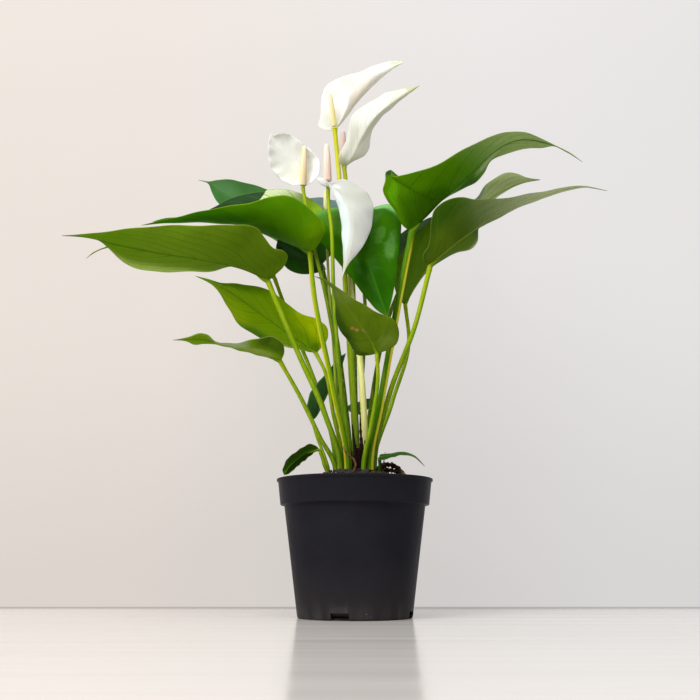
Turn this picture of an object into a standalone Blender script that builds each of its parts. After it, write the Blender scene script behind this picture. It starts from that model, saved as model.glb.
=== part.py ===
"""A potted anthurium: leaves, blooms, stalks, crown, soil and pot, each a closed solid.

Metres, +Z up. The origin is the middle of the pot's foot, -Y faces the viewer. Sizes in the
tables below are in millimetres, and mm() turns them into metres.
"""
from dataclasses import dataclass
from math import cos, pi, radians, sin

import bmesh
import bpy
import numpy as np
from mathutils import Matrix, Vector

GAP = 0.3            # clearance between touching pieces
BLADE_THICKNESS = 0.8
STALK_SIDES = 1      # bevel resolution of a stalk: 6 sides
STALK_STEP = 22.0    # distance between a stalk's rings
FOOT_SWELL = 1.08    # a stalk's radius at its foot, as a share of its middle radius
TOP_TAPER = 0.9      # and at its top
NECK_LENGTH = 3.5    # the last stretch of a stalk, square to the blade that it carries
SEAT_SLACK = 0.1     # added to the gap between a neck and its blade

# The pot: a thermoformed nursery pot with a rim band and four drain notches
POT_HEIGHT = 112.0
RIM_RADIUS = 65.0
LIP_HEIGHT = 2.2
LIP_REACH = 1.2      # how far the lip flange stands out of the band
BAND_HEIGHT = 21.5
BAND_FOOT_RADIUS = 61.8
BODY_TOP_RADIUS = 58.5
FOOT_RADIUS = 46.9
POT_WALL = 1.2
FLOOR_THICKNESS = 1.8
FOOT_ROUND = 1.6
EDGE = 0.5           # how much the band's and the lip's edges are broken
NOTCH_WIDTH = 14.5
NOTCH_HEIGHT = 5.7
NOTCH_DEPTH = 4.2
NOTCH_OVERRUN = 6.0  # how far a notch's cutter stands out of the foot
NOTCH_COUNT = 4
NOTCH_TURN = -15.0   # degrees from the side that faces the viewer
POT_STEPS = 40

# The soil: a mound that fills the pot to just under its rim
SOIL_EDGE_HEIGHT = 104.5
SOIL_TOP_HEIGHT = 118.0
SOIL_FLAT_RADIUS = 13.0
SOIL_EDGE_ROUND = 2.0
SOIL_RINGS = 8
SOIL_STEPS = 32
HOLE_FLOOR = 98.0    # height of the floor of the holes that the stalks stand in
HOLE_MARGIN = 0.45   # clearance round a stalk in its hole
HOLE_OVERRUN = 6.0   # how far a hole's cutter stands out of the mound

LEAF_GREEN = (0.10, 0.24, 0.015)
YELLOW_GREEN = (0.21, 0.32, 0.012)
DARK_GREEN = (0.025, 0.075, 0.03)
STALK_GREEN = (0.20, 0.34, 0.02)
PALE_STALK = (0.55, 0.55, 0.10)
SPATHE_WHITE = (0.86, 0.87, 0.82)
SPADIX_CREAM = (0.72, 0.58, 0.42)
POT_BLACK = (0.018, 0.018, 0.020)
SOIL_BROWN = (0.022, 0.016, 0.012)
CROWN_MAROON = (0.045, 0.018, 0.014)
DRY_BROWN = (0.18, 0.10, 0.05)


def mm(value):
    """Millimetres, or a sequence of them, in metres."""
    return np.asarray(value, float) * 0.001


@dataclass(frozen=True)
class Blade:
    """A leaf blade or spathe: a midrib from base to tip, and two halves that rise from it.

    rise and bow move the midrib's inner control points up and sideways. faces is where the
    upper side looks at the base, and twist turns it along the blade. fold is how steeply the
    halves rise, at base, middle and tip, in degrees, and curl bends them further outwards.
    """
    base: tuple
    tip: tuple
    half_width: float
    rise: tuple = (0.0, 0.0)
    bow: tuple = (0.0, 0.0)
    faces: tuple = (0.0, 0.0, 1.0)
    twist: tuple = (0.0, 0.0, 0.0)
    fold: tuple = (40.0, 20.0, 10.0)
    curl: tuple = (0.0, 0.0, 0.0)
    belly: float = 0.2       # where along the midrib the blade is widest
    shoulder: float = 0.6    # width at the base, as a share of the widest
    fullness: float = 2.0    # how long the blade stays wide
    point: float = 1.6       # how drawn-out the tip is
    lobe: float = 0.05       # how far the base lobes reach back, as a share of the length
    lobe_lift: float = 0.0
    wave: float = 0.0
    waves: float = 3.0
    wave_start: float = 0.0
    left: float = 1.0
    right: float = 1.0
    rows: int = 14
    columns: int = 6


@dataclass(frozen=True)
class Stalk:
    """A petiole or flower stalk: where it stands, the places it passes, and its radius.

    Its top is seated square under the base of its blade, unless top gives another place.
    """
    foot: tuple
    path: tuple
    radius: float
    colour: tuple = STALK_GREEN
    top: tuple = ()


@dataclass(frozen=True)
class Spadix:
    """A spadix: a tapered finger between two places."""
    base: tuple
    tip: tuple
    radius: float


LEAVES = {
    "leaf_a": (
        Blade((-72, -35, 275), (-237, -70, 302), 42, rise=(2, -2), faces=(0, 0.12, 1),
              twist=(0, 15, 32), fold=(55, 18, 0), belly=0.14, fullness=2.6, point=2.2, lobe=0.08),
        Stalk((-12, -10), ((-25, -17, 165), (-47, -26, 214)), 2.3),
        YELLOW_GREEN),
    "leaf_a2": (
        Blade((-69, 10, 290), (-245, 36, 316), 20, rise=(12, 45), faces=(0, 0.1, 1),
              fold=(20, 10, 5), fullness=2.2, lobe=0.06, rows=12, columns=4),
        Stalk((-16, 12), ((-35, 28, 200), (-52, 33, 243), (-63, 26, 270)), 1.8),
        YELLOW_GREEN),
    "leaf_l3": (
        Blade((-40, -8, 308), (-188, 0, 335), 40, rise=(28, 6), faces=(0, -0.2, 1),
              twist=(0, 6, 10), fold=(75, 28, 15), belly=0.15, fullness=1.7, point=1.8, lobe=0.02),
        Stalk((-6, -16), ((-18, -22, 184), (-30, -24, 248)), 2.4),
        LEAF_GREEN),
    "leaf_d": (
        Blade((-30, 42, 311), (-182, 50, 359), 50, rise=(14, 6), faces=(0, -1.4, 1),
              fold=(12, 30, 20), lobe=0.06, left=0.7),
        Stalk((-8, 14), ((-13, 24, 183), (-21, 40, 276)), 1.8),
        DARK_GREEN),
    "leaf_l1": (
        Blade((-33, 80, 326), (-161, 124, 427), 37, rise=(10, 6), faces=(0, 0.35, 1),
              fold=(15, 5, 5), fullness=4.0, point=1.5),
        Stalk((-3, 17), ((-8, 39, 184), (-21, 63, 272)), 1.9),
        LEAF_GREEN),
    "leaf_g": (
        Blade((-32, 2, 221), (-140, 4, 290), 34, rise=(5, 5), faces=(0, 0.5, 1),
              fold=(20, 8, 5), shoulder=0.45, fullness=3.0, point=2.0, lobe=0.02, left=0.75, right=0.9),
        Stalk((-9, -3), ((-18, -4, 166), (-26, -2, 205)), 1.7),
        YELLOW_GREEN),
    "leaf_h": (
        Blade((-61, -28, 208), (-148, -50, 220), 18, rise=(4, 0), fold=(30, 22, 22), wave=5.0,
              waves=1.5, wave_start=0.15, lobe=0.03, rows=14, columns=4),
        Stalk((-16, -6), ((-29, -9, 146), (-46, -18, 180)), 1.9),
        LEAF_GREEN),
    "leaf_i": (
        Blade((-36, 12, 164), (-7, 22, 224), 13, faces=(0.6, -0.5, 0.3), fold=(20, 20, 20),
              lobe=0.04, left=1.3, right=0.4, rows=10, columns=4),
        Stalk((-22, 4), ((-25.5, 7, 132), (-32, 9, 148)), 1.2, top=(-36.4, 10.8, 162)),
        DARK_GREEN),
    "leaf_j": (
        Blade((0, 28, 169), (18, 44, 187), 9, faces=(-0.6, -1, 1), fold=(10, 10, 10),
              lobe=0.04, rows=8, columns=4),
        Stalk((4, 25), ((3, 26, 138), (1, 26.5, 155)), 1.3),
        DARK_GREEN),
    "leaf_k": (
        Blade((-29, -18, 136), (-58, -22, 115.5), 12, rise=(4, 8), faces=(0, 0.3, 1),
              fold=(40, 30, 20), lobe=0.03, rows=8, columns=4),
        Stalk((-23, -15), ((-25, -16, 122), (-27, -17, 129)), 1.3),
        LEAF_GREEN),
    "leaf_l": (
        Blade((21, -19, 128), (57, -26, 121), 9, rise=(4, 6), faces=(0, -0.2, 1),
              fold=(5, 5, 5), lobe=0.03, rows=8, columns=4),
        Stalk((20.5, -17), ((20.6, -17.8, 122),), 1.2),
        LEAF_GREEN),
    "leaf_e": (
        Blade((0, -14, 328), (25, -30, 245), 38, rise=(4, 0), faces=(0, -1, 0.2),
              fold=(-8, -8, -5), belly=0.1, shoulder=0.85, fullness=1.9, point=1.25, lobe=0.22,
              lobe_lift=-8.0, right=0.9),
        Stalk((7, 4), ((6, 8, 180), (9, 9, 268), (4, 2, 318)), 1.7, top=(0.7, -11.9, 327.8)),
        LEAF_GREEN),
    "leaf_c2": (
        Blade((19, -30, 214), (-33, -62, 271), 30, faces=(0.2, 0.5, 1), fold=(15, 12, 10),
              point=1.4, lobe=0.08, right=0.75),
        Stalk((7, -17), ((14, -21, 158), (19, -27, 193)), 1.7),
        LEAF_GREEN),
    "leaf_r1": (
        Blade((49, -4, 328), (195, -40, 377), 44, rise=(25, 75), faces=(0, 0.2, 1),
              fold=(50, 20, 8), belly=0.04, shoulder=0.9, fullness=1.2, point=1.4, lobe=0.0,
              left=0.75, rows=16),
        Stalk((12, -11), ((22, -14, 177), (37, -12, 260)), 2.8),
        LEAF_GREEN),
    "leaf_r3": (
        Blade((63, -22, 291), (212, -50, 349), 42, rise=(22, 31), faces=(0, 0.05, 1),
              fold=(60, 20, 8), belly=0.08, fullness=1.4, point=1.8, lobe=-0.06),
        Stalk((16, -3), ((29, -7, 182), (51, -18, 240)), 2.2),
        LEAF_GREEN),
    "leaf_r5": (
        Blade((45, 34, 271), (175, 36, 393), 40, rise=(43, 35), faces=(0, 0.25, 1),
              fold=(25, -2, 0), fullness=3.0, point=1.8, lobe=0.02),
        Stalk((15, 7), ((32, 10, 178), (48, 24, 234)), 1.8),
        DARK_GREEN),
    "leaf_r6": (
        Blade((50, 46, 315), (99, 118, 394), 30, rise=(6, 6), faces=(0, 0.1, 1),
              fold=(30, 20, 10)),
        Stalk((9, 14), ((15, 22, 183), (30, 35, 257)), 1.9),
        DARK_GREEN),
    "leaf_f": (
        Blade((-2, 74, 354), (-52, 132, 409), 30, rise=(8, 6), faces=(0, -0.3, 1),
              fold=(20, 20, 10)),
        Stalk((3, 9), ((1, 18, 182), (0, 47, 269)), 1.8),
        DARK_GREEN),
}

BLOOMS = {
    "bloom_t1": (
        Blade((-18, 16, 433), (46, 4, 495), 33, faces=(-0.3, -1, 0.2), fold=(10, 10, 0),
              belly=0.28, shoulder=0.5, fullness=1.8, point=1.0, lobe=0.06, right=0.12, rows=12),
        Stalk((9, -4), ((5, 0, 209), (-9, 13, 325), (-15, 15.6, 400)), 2.7, PALE_STALK,
              top=(-18, 12, 432)),
        Spadix((-18.5, 12, 432.6), (-22, 8.6, 462), 2.0)),
    "bloom_t2": (
        Blade((-9, -6, 387), (60, -4, 467), 31, faces=(-0.7, -0.1, 0.7), fold=(40, 40, 20),
              belly=0.4, shoulder=0.45, point=1.2, lobe=0.03, rows=12),
        Stalk((1, 0), ((-4, 1, 223), (-9, 0, 303), (-8, -5, 376)), 2.8),
        Spadix((-11, -6.3, 389.6), (-11, -9, 421), 2.5)),
    "bloom_b3": (
        Blade((-47, 15, 376), (-75, -1, 420), 24, faces=(0.3, -1, 0.2), fold=(5, 4, 0),
              belly=0.25, shoulder=0.45, fullness=2.5, point=0.9, lobe=0.04, left=0.62, rows=12),
        Stalk((-8, 4), ((-12, 2, 190), (-26, 1, 275), (-35, 9, 314), (-42, 13, 350)), 1.7,
              PALE_STALK, top=(-46.6, 12, 375)),
        Spadix((-46.6, 11.2, 376), (-45, 7.4, 411), 2.4)),
    "bloom_b4": (
        Blade((-22, -20, 366), (-11, -46, 278), 20, rise=(14, 4), bow=(16, 13),
              faces=(0.6, -1, 0.5), fold=(30, 35, 30), belly=0.3, point=1.0, left=1.25,
              right=0.6, rows=12),
        Stalk((-3, -8), ((-12, -10, 192), (-18, -20, 272), (-20, -21.6, 325), (-23, -18, 355)), 1.8),
        Spadix((-23, -20.6, 368), (-23.6, -21, 403), 3.0)),
}

BUD_STALK = Stalk((-14, 6), ((-18, 9, 223), (-24, 12, 310)), 1.3, PALE_STALK, top=(-25, 8, 350))
BUD = Spadix((-25, 8, 350.4), (-26.4, 7, 371), 2.3)

# The crown: a short stock with fibres that stand up from it
CROWN_PLACE = (4.0, -9.0)
STOCK_RADIUS = 4.0
STOCK_TOP_RADIUS = 2.5
STOCK_HEIGHT = 17.0
FIBRE_COUNT = 7
FIBRE_RADIUS = 1.3
FIBRE_TIP_RADIUS = 0.25
FIBRE_LENGTH = 17.0  # the shortest fibre
FIBRE_EXTRA = 2.4    # the steps by which the others are longer
FIBRE_REACH = 1.6    # how far from the middle they stand
FIBRE_LEAN = 0.12    # radians

# Dry bits that stand on the soil: the route and the radius of each
DRY_BITS = {
    "dry_sheath": (((-1.5, -23, 117.2), (-2.5, -23.5, 127), (-6, -23.5, 133), (-11, -22.5, 141)), 0.9),
    "dry_root": (((27, -8, 116.2), (29, -9, 124), (36, -11, 122.5), (42, -13, 113.5)), 1.1),
    "dry_spike": (((24, -5, 117), (24.5, -5, 126), (25.5, -5, 134)), 0.8),
}
DRY_BIT_STEP = 3.5


def clear_scene():
    """Remove every object, so that the script can be run again."""
    for item in list(bpy.data.objects):
        bpy.data.objects.remove(item, do_unlink=True)


def collection(name):
    """A new collection in the scene."""
    made = bpy.data.collections.new(name)
    bpy.context.scene.collection.children.link(made)
    return made


def material(name, colour, roughness):
    """A Principled material."""
    made = bpy.data.materials.new(name)
    made.use_nodes = True
    shader = made.node_tree.nodes["Principled BSDF"]
    shader.inputs["Base Color"].default_value = (*colour, 1.0)
    shader.inputs["Roughness"].default_value = roughness
    shader.inputs["Metallic"].default_value = 0.0
    return made


def adopt(item, name, home, colour, roughness):
    """Name an object, give it its material and put it in its collection."""
    item.name = name
    item.data.name = name
    item.data.materials.clear()
    item.data.materials.append(material(name + "_finish", colour, roughness))
    for old in list(item.users_collection):
        old.objects.unlink(item)
    home.objects.link(item)
    return item


def unit(vectors):
    """Vectors scaled to length 1."""
    return vectors / np.linalg.norm(vectors, axis=-1, keepdims=True)


def along_blade(values, s):
    """Base, middle and tip values, eased from one to the next along the blade."""
    base, middle, tip = values
    ease = np.sin(pi * s)
    return np.where(s < 0.5, base + (middle - base) * ease, middle + (tip - middle) * (1 - ease))


def blade_width(blade, s):
    """Half width at s: it grows to the belly, then narrows as (1 - t^fullness)^point."""
    t = np.clip((s - blade.belly) / (1 - blade.belly), 0, 1)
    rear = blade.shoulder + (1 - blade.shoulder) * np.sin(pi / 2 * np.clip(s / blade.belly, 0, 1))
    front = (1 - t ** blade.fullness) ** blade.point
    return blade.half_width * (np.where(s < blade.belly, rear, front) + 0.018)


def midrib(blade, s):
    """Places and directions along the midrib, a cubic Bezier curve."""
    up = np.array([0.0, 0.0, 1.0])
    base, tip = np.array(blade.base, float), np.array(blade.tip, float)
    chord = tip - base
    side = unit(np.cross(up, chord))
    inner = base + chord / 3 + blade.rise[0] * up + blade.bow[0] * side
    outer = base + chord * 2 / 3 + blade.rise[1] * up + blade.bow[1] * side
    s = s[:, None]
    place = ((1 - s) ** 3 * base + 3 * (1 - s) ** 2 * s * inner
             + 3 * (1 - s) * s ** 2 * outer + s ** 3 * tip)
    forward = (1 - s) ** 2 * (inner - base) + 2 * (1 - s) * s * (outer - inner) + s ** 2 * (tip - outer)
    return place, unit(forward), np.linalg.norm(chord)


def blade_normal(blade, forward):
    """Where the blade's upper side looks, square to the midrib."""
    looks = np.array(blade.faces, float)
    return unit(looks - (forward @ looks)[:, None] * forward)


def blade_points(blade, s, u):
    """Points of the blade at s from base to tip and u from the left edge, -1, to the right, 1."""
    place, forward, length = midrib(blade, s)
    normal = blade_normal(blade, forward)
    side = np.cross(forward, normal)
    turn = np.radians(along_blade(blade.twist, s))[:, None]
    normal, side = normal * np.cos(turn) + side * np.sin(turn), side * np.cos(turn) - normal * np.sin(turn)
    out = np.abs(u)
    half = blade_width(blade, s) * np.where(u < 0, blade.left, blade.right)
    fold = np.radians(along_blade(blade.fold, s))
    curl = np.radians(along_blade(blade.curl, s)) + 1e-4
    across = half * (np.sin(fold + curl * out) - np.sin(fold)) / curl * np.sign(u)
    above = half * (np.cos(fold) - np.cos(fold + curl * out)) / curl
    ripple = np.sin(2 * pi * blade.waves * s + blade.wave_start + np.where(u < 0, 0.0, 2.0))
    above = above + blade.wave * out ** 2 * ripple * np.sqrt(np.sin(pi * np.clip(s, 0, 1)))
    above = above + blade.lobe_lift * out * (1 - s) ** 4
    back = blade.lobe * length * out ** 1.3 * (1 - s) ** 3
    return place - forward * back[:, None] + side * across[:, None] + normal * above[:, None]


def make_blade(name, blade, home, colour, roughness):
    """A blade: a grid shaped by blade_points, split alike on both faces, then given its thickness."""
    bpy.ops.mesh.primitive_grid_add(x_subdivisions=blade.rows, y_subdivisions=blade.columns, size=2)
    item = bpy.context.object
    flat = np.empty(len(item.data.vertices) * 3)
    item.data.vertices.foreach_get("co", flat)
    flat = flat.reshape(-1, 3)
    shaped = mm(blade_points(blade, (flat[:, 0] + 1) / 2, flat[:, 1]))
    item.data.vertices.foreach_set("co", shaped.ravel())
    shape = bmesh.new()
    shape.from_mesh(item.data)
    bmesh.ops.triangulate(shape, faces=shape.faces)
    shape.to_mesh(item.data)
    shape.free()
    skin = item.modifiers.new("thickness", "SOLIDIFY")
    skin.thickness = mm(BLADE_THICKNESS)
    skin.offset = 0.0
    item.data.shade_smooth()
    return adopt(item, name, home, colour, roughness)


def smooth_path(points, spacing):
    """Points along a smooth curve through the given places, about spacing apart.

    Between two places the curve is a cubic whose end slopes come from the neighbouring places.
    """
    knots = np.array(points, float)
    length = np.concatenate([[0.0], np.cumsum(np.linalg.norm(np.diff(knots, axis=0), axis=1))])
    slope = np.gradient(knots, length, axis=0)
    at = np.linspace(0.0, length[-1], max(3, round(length[-1] / spacing) + 1))
    piece = np.clip(np.searchsorted(length, at, side="right") - 1, 0, len(knots) - 2)
    step = (length[piece + 1] - length[piece])[:, None]
    x = ((at - length[piece])[:, None]) / step
    return ((2 * x ** 3 - 3 * x ** 2 + 1) * knots[piece] + (x ** 3 - 2 * x ** 2 + x) * step * slope[piece]
            + (3 * x ** 2 - 2 * x ** 3) * knots[piece + 1] + (x ** 3 - x ** 2) * step * slope[piece + 1])


def make_tube(name, points, radii, home, colour, roughness, resolution=STALK_SIDES):
    """A round bar along points: a poly curve with a bevel, made a mesh and closed at its ends."""
    curve = bpy.data.curves.new(name, "CURVE")
    curve.dimensions = "3D"
    curve.bevel_depth = 1.0
    curve.bevel_resolution = resolution
    curve.use_fill_caps = True
    spline = curve.splines.new("POLY")
    spline.points.add(len(points) - 1)
    for point, place, radius in zip(spline.points, mm(points), mm(radii)):
        point.co = (*place, 1.0)
        point.radius = radius
    guide = bpy.data.objects.new(name + "_guide", curve)
    bpy.context.scene.collection.objects.link(guide)
    bpy.context.view_layer.update()
    mesh = bpy.data.meshes.new_from_object(guide.evaluated_get(bpy.context.evaluated_depsgraph_get()))
    bpy.data.objects.remove(guide, do_unlink=True)
    shape = bmesh.new()
    shape.from_mesh(mesh)
    bmesh.ops.remove_doubles(shape, verts=shape.verts, dist=1e-6)
    bmesh.ops.recalc_face_normals(shape, faces=shape.faces)
    shape.to_mesh(mesh)
    shape.free()
    mesh.shade_smooth()
    item = bpy.data.objects.new(name, mesh)
    return adopt(item, name, home, colour, roughness)


def under_base(blade):
    """The seat of a stalk just under a blade's base, and the neck it rises from, along the normal."""
    place, forward, _ = midrib(blade, np.zeros(1))
    normal = blade_normal(blade, forward)[0]
    seat = place[0] - normal * (BLADE_THICKNESS / 2 + GAP + SEAT_SLACK)
    return seat - normal * NECK_LENGTH, seat


def stalk_points(stalk, blade):
    """Rings of a stalk: straight up out of its hole, along its path, then up its neck."""
    foot = (*stalk.foot, HOLE_FLOOR + GAP)
    surface = (*stalk.foot, soil_height(*stalk.foot) + 2.0)
    if stalk.top:
        return np.vstack([foot, smooth_path([surface, *stalk.path, stalk.top], STALK_STEP)])
    neck, seat = under_base(blade)
    return np.vstack([foot, smooth_path([surface, *stalk.path, neck], STALK_STEP), seat])


def make_stalk(name, stalk, blade, home):
    """A petiole or flower stalk, a little stouter at its foot."""
    points = stalk_points(stalk, blade)
    radii = stalk.radius * np.linspace(FOOT_SWELL, TOP_TAPER, len(points))
    return make_tube(name, points, radii, home, stalk.colour, 0.45)


def make_spadix(name, spadix, home):
    """A spadix: a finger that narrows to a round tip."""
    share = np.array([0.0, 0.06, 0.3, 0.6, 0.85, 0.95, 1.0])
    width = np.array([0.72, 0.95, 1.0, 0.92, 0.74, 0.52, 0.2])
    base, tip = np.array(spadix.base, float), np.array(spadix.tip, float)
    points = base + (tip - base) * share[:, None]
    return make_tube(name, points, spadix.radius * width, home, SPADIX_CREAM, 0.6, resolution=2)


def soil_height(x, y):
    """Height of the soil: a mound that falls from its flat top to the pot's wall as a cosine."""
    fall = np.clip((np.hypot(x, y) - SOIL_FLAT_RADIUS) / (RIM_RADIUS - SOIL_FLAT_RADIUS), 0, 1)
    return SOIL_EDGE_HEIGHT + (SOIL_TOP_HEIGHT - SOIL_EDGE_HEIGHT) * (1 + np.cos(pi * fall)) / 2


def body_radius(z):
    """Outer radius of the pot's tapered body at a height."""
    top = POT_HEIGHT - BAND_HEIGHT
    return FOOT_RADIUS + (BODY_TOP_RADIUS - FOOT_RADIUS) * z / top


def turned(name, profile, steps, home, colour, roughness):
    """A solid turned round Z from a profile of (radius, height) in millimetres.

    The profile starts and ends on the axis, and runs down its outer side.
    """
    mesh = bpy.data.meshes.new(name)
    edges = [(number, number + 1) for number in range(len(profile) - 1)]
    mesh.from_pydata([(mm(radius), 0.0, mm(height)) for radius, height in profile], edges, [])
    item = bpy.data.objects.new(name, mesh)
    screw = item.modifiers.new("turn", "SCREW")
    screw.axis = "Z"
    screw.angle = 2 * pi
    screw.steps = screw.render_steps = steps
    screw.use_merge_vertices = True
    screw.merge_threshold = 1e-6
    return adopt(item, name, home, colour, roughness)


def pot_profile():
    """The pot: across its floor, up the inside, round the lip, down the outside and under the foot."""
    step = POT_HEIGHT - BAND_HEIGHT
    lip = POT_HEIGHT - LIP_HEIGHT
    band_top = RIM_RADIUS - LIP_REACH
    inner_foot = FLOOR_THICKNESS + FOOT_ROUND
    inside = [(0.0, FLOOR_THICKNESS), (FOOT_RADIUS - POT_WALL - FOOT_ROUND, FLOOR_THICKNESS),
              (body_radius(inner_foot) - POT_WALL, inner_foot),
              (BODY_TOP_RADIUS - POT_WALL, step), (BAND_FOOT_RADIUS - POT_WALL, step + POT_WALL),
              (band_top - POT_WALL, POT_HEIGHT - EDGE), (band_top - POT_WALL + EDGE, POT_HEIGHT)]
    lip_ring = [(RIM_RADIUS - EDGE, POT_HEIGHT), (RIM_RADIUS, POT_HEIGHT - EDGE),
                (RIM_RADIUS, lip + EDGE), (RIM_RADIUS - EDGE, lip), (band_top, lip - EDGE)]
    outside = [(BAND_FOOT_RADIUS, step + EDGE), (BAND_FOOT_RADIUS - EDGE, step),
               (BODY_TOP_RADIUS + EDGE, step), (BODY_TOP_RADIUS, step - EDGE),
               (body_radius(FOOT_ROUND), FOOT_ROUND), (FOOT_RADIUS - EDGE, EDGE),
               (FOOT_RADIUS - FOOT_ROUND, 0.0), (0.0, 0.0)]
    return inside + lip_ring + outside


def make_pot(home, tools):
    """The pot: a turned shell with drain notches cut in its foot."""
    pot = turned("pot", pot_profile(), POT_STEPS, home, POT_BLACK, 0.38)
    size = (NOTCH_DEPTH + NOTCH_OVERRUN, NOTCH_WIDTH, NOTCH_HEIGHT * 2)
    reach = FOOT_RADIUS + (NOTCH_OVERRUN - NOTCH_DEPTH) / 2
    for number in range(NOTCH_COUNT):
        turn = radians(NOTCH_TURN - 90.0 + number * 360.0 / NOTCH_COUNT)
        bpy.ops.mesh.primitive_cube_add(size=1.0)
        cutter = bpy.context.object
        cutter.data.transform(Matrix.Diagonal((*mm(size), 1.0)))
        cutter.location = mm((reach * cos(turn), reach * sin(turn), 0.0))
        cutter.rotation_euler = (0.0, 0.0, turn)
        cut(pot, cutter, "notch_%d" % number, tools)
    return pot


def cut(item, cutter, name, tools):
    """Cut one object with another, which is kept out of sight."""
    cutter.name = name
    for old in list(cutter.users_collection):
        old.objects.unlink(cutter)
    tools.objects.link(cutter)
    cutter.hide_render = True
    cutter.display_type = "WIRE"
    boolean = item.modifiers.new(name, "BOOLEAN")
    boolean.operation = "DIFFERENCE"
    boolean.solver = "EXACT"
    boolean.object = cutter


def soil_profile():
    """The soil: the mound from its middle outwards, down beside the pot's wall, and in to the axis.

    Its foot is drawn in behind the drain notches.
    """
    step = POT_HEIGHT - BAND_HEIGHT
    wall = POT_WALL + 2 * GAP
    band = BAND_FOOT_RADIUS - wall
    rings = np.linspace(0.0, band - SOIL_EDGE_ROUND, SOIL_RINGS)
    mound = [(float(radius), float(soil_height(radius, 0.0))) for radius in rings]
    notch_top = NOTCH_HEIGHT + SOIL_EDGE_ROUND
    side = [(band, mound[-1][1] - SOIL_EDGE_ROUND), (band, step + 2 * SOIL_EDGE_ROUND),
            (BODY_TOP_RADIUS - wall, step), (body_radius(notch_top) - wall, notch_top)]
    foot = [(FOOT_RADIUS - NOTCH_DEPTH - SOIL_EDGE_ROUND, FLOOR_THICKNESS + GAP),
            (0.0, FLOOR_THICKNESS + GAP)]
    return mound + side + foot


def make_soil(home, tools, stalks):
    """The soil, with a plain hole for each stalk."""
    soil = turned("soil", soil_profile(), SOIL_STEPS, home, SOIL_BROWN, 0.95)
    holes = bmesh.new()
    top = SOIL_TOP_HEIGHT + HOLE_OVERRUN
    for stalk in stalks:
        radius = stalk.radius * FOOT_SWELL + HOLE_MARGIN
        place = Vector(mm((*stalk.foot, (HOLE_FLOOR + top) / 2)))
        bmesh.ops.create_cone(holes, cap_ends=True, segments=8, radius1=mm(radius), radius2=mm(radius),
                              depth=mm(top - HOLE_FLOOR), matrix=Matrix.Translation(place))
    mesh = bpy.data.meshes.new("holes")
    holes.to_mesh(mesh)
    holes.free()
    cutter = bpy.data.objects.new("stalk_holes", mesh)
    bpy.context.scene.collection.objects.link(cutter)
    cut(soil, cutter, "stalk_holes", tools)
    return soil


def make_fibre(number, base, home):
    """One fibre of the crown: a slim cone that leans outwards."""
    angle = 2 * pi * number / FIBRE_COUNT
    length = FIBRE_LENGTH + FIBRE_EXTRA * (number * 3 % 5)
    bpy.ops.mesh.primitive_cone_add(vertices=5, radius1=mm(FIBRE_RADIUS), radius2=mm(FIBRE_TIP_RADIUS),
                                    depth=mm(length))
    fibre = bpy.context.object
    fibre.rotation_euler = (FIBRE_LEAN * sin(angle), -FIBRE_LEAN * cos(angle), angle)
    fibre.location = mm((CROWN_PLACE[0] + FIBRE_REACH * cos(angle),
                         CROWN_PLACE[1] + FIBRE_REACH * sin(angle), base + 2.0 + length / 2))
    for old in list(fibre.users_collection):
        old.objects.unlink(fibre)
    home.objects.link(fibre)


def make_crown(home):
    """The crown: a short stock and its fibres, joined in one solid."""
    base = float(soil_height(*CROWN_PLACE)) + GAP
    bpy.ops.mesh.primitive_cone_add(vertices=10, radius1=mm(STOCK_RADIUS), radius2=mm(STOCK_TOP_RADIUS),
                                    depth=mm(STOCK_HEIGHT),
                                    location=mm((*CROWN_PLACE, base + STOCK_HEIGHT / 2)))
    crown = bpy.context.object
    fibres = collection("crown_fibres")
    for number in range(FIBRE_COUNT):
        make_fibre(number, base, fibres)
    join = crown.modifiers.new("fibres", "BOOLEAN")
    join.operation = "UNION"
    join.solver = "EXACT"
    join.operand_type = "COLLECTION"
    join.collection = fibres
    bpy.context.view_layer.update()
    crown.data = bpy.data.meshes.new_from_object(crown.evaluated_get(bpy.context.evaluated_depsgraph_get()))
    crown.modifiers.clear()
    for fibre in list(fibres.objects):
        bpy.data.objects.remove(fibre, do_unlink=True)
    bpy.data.collections.remove(fibres)
    return adopt(crown, "crown", home, CROWN_MAROON, 0.9)


def make_dry_bits(home):
    """The dry sheath, root and spike."""
    for name, (route, radius) in DRY_BITS.items():
        points = smooth_path(route, DRY_BIT_STEP)
        radii = radius * np.linspace(1.0, 0.45, len(points))
        make_tube(name, points, radii, home, DRY_BROWN, 0.8)


def main():
    """Build the whole plant in its pot."""
    clear_scene()
    home = collection("potted_anthurium")
    tools = collection("cutters")
    stalks = []
    for name, (blade, stalk, colour) in LEAVES.items():
        make_blade(name, blade, home, colour, 0.35)
        make_stalk(name.replace("leaf", "petiole"), stalk, blade, home)
        stalks.append(stalk)
    for name, (spathe, stalk, spadix) in BLOOMS.items():
        make_blade(name.replace("bloom", "spathe"), spathe, home, SPATHE_WHITE, 0.5)
        make_stalk(name.replace("bloom", "peduncle"), stalk, spathe, home)
        make_spadix(name.replace("bloom", "spadix"), spadix, home)
        stalks.append(stalk)
    make_stalk("peduncle_b5", BUD_STALK, None, home)
    make_spadix("bud_b5", BUD, home)
    stalks.append(BUD_STALK)
    make_pot(home, tools)
    make_soil(home, tools, stalks)
    make_crown(home)
    make_dry_bits(home)


main()
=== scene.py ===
"""A potted anthurium, dressed: leaves, blooms, stalks, crown, soil and pot, on a pale studio floor.

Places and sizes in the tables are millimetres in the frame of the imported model: the origin is
the middle of the pot's foot, +Z is up and -Y faces the viewer. mm() turns them into metres.
"""
import sys

import logging
from collections.abc import Sequence
from dataclasses import dataclass, field, replace
from enum import Enum
from math import cos, pi, radians, sin

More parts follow.
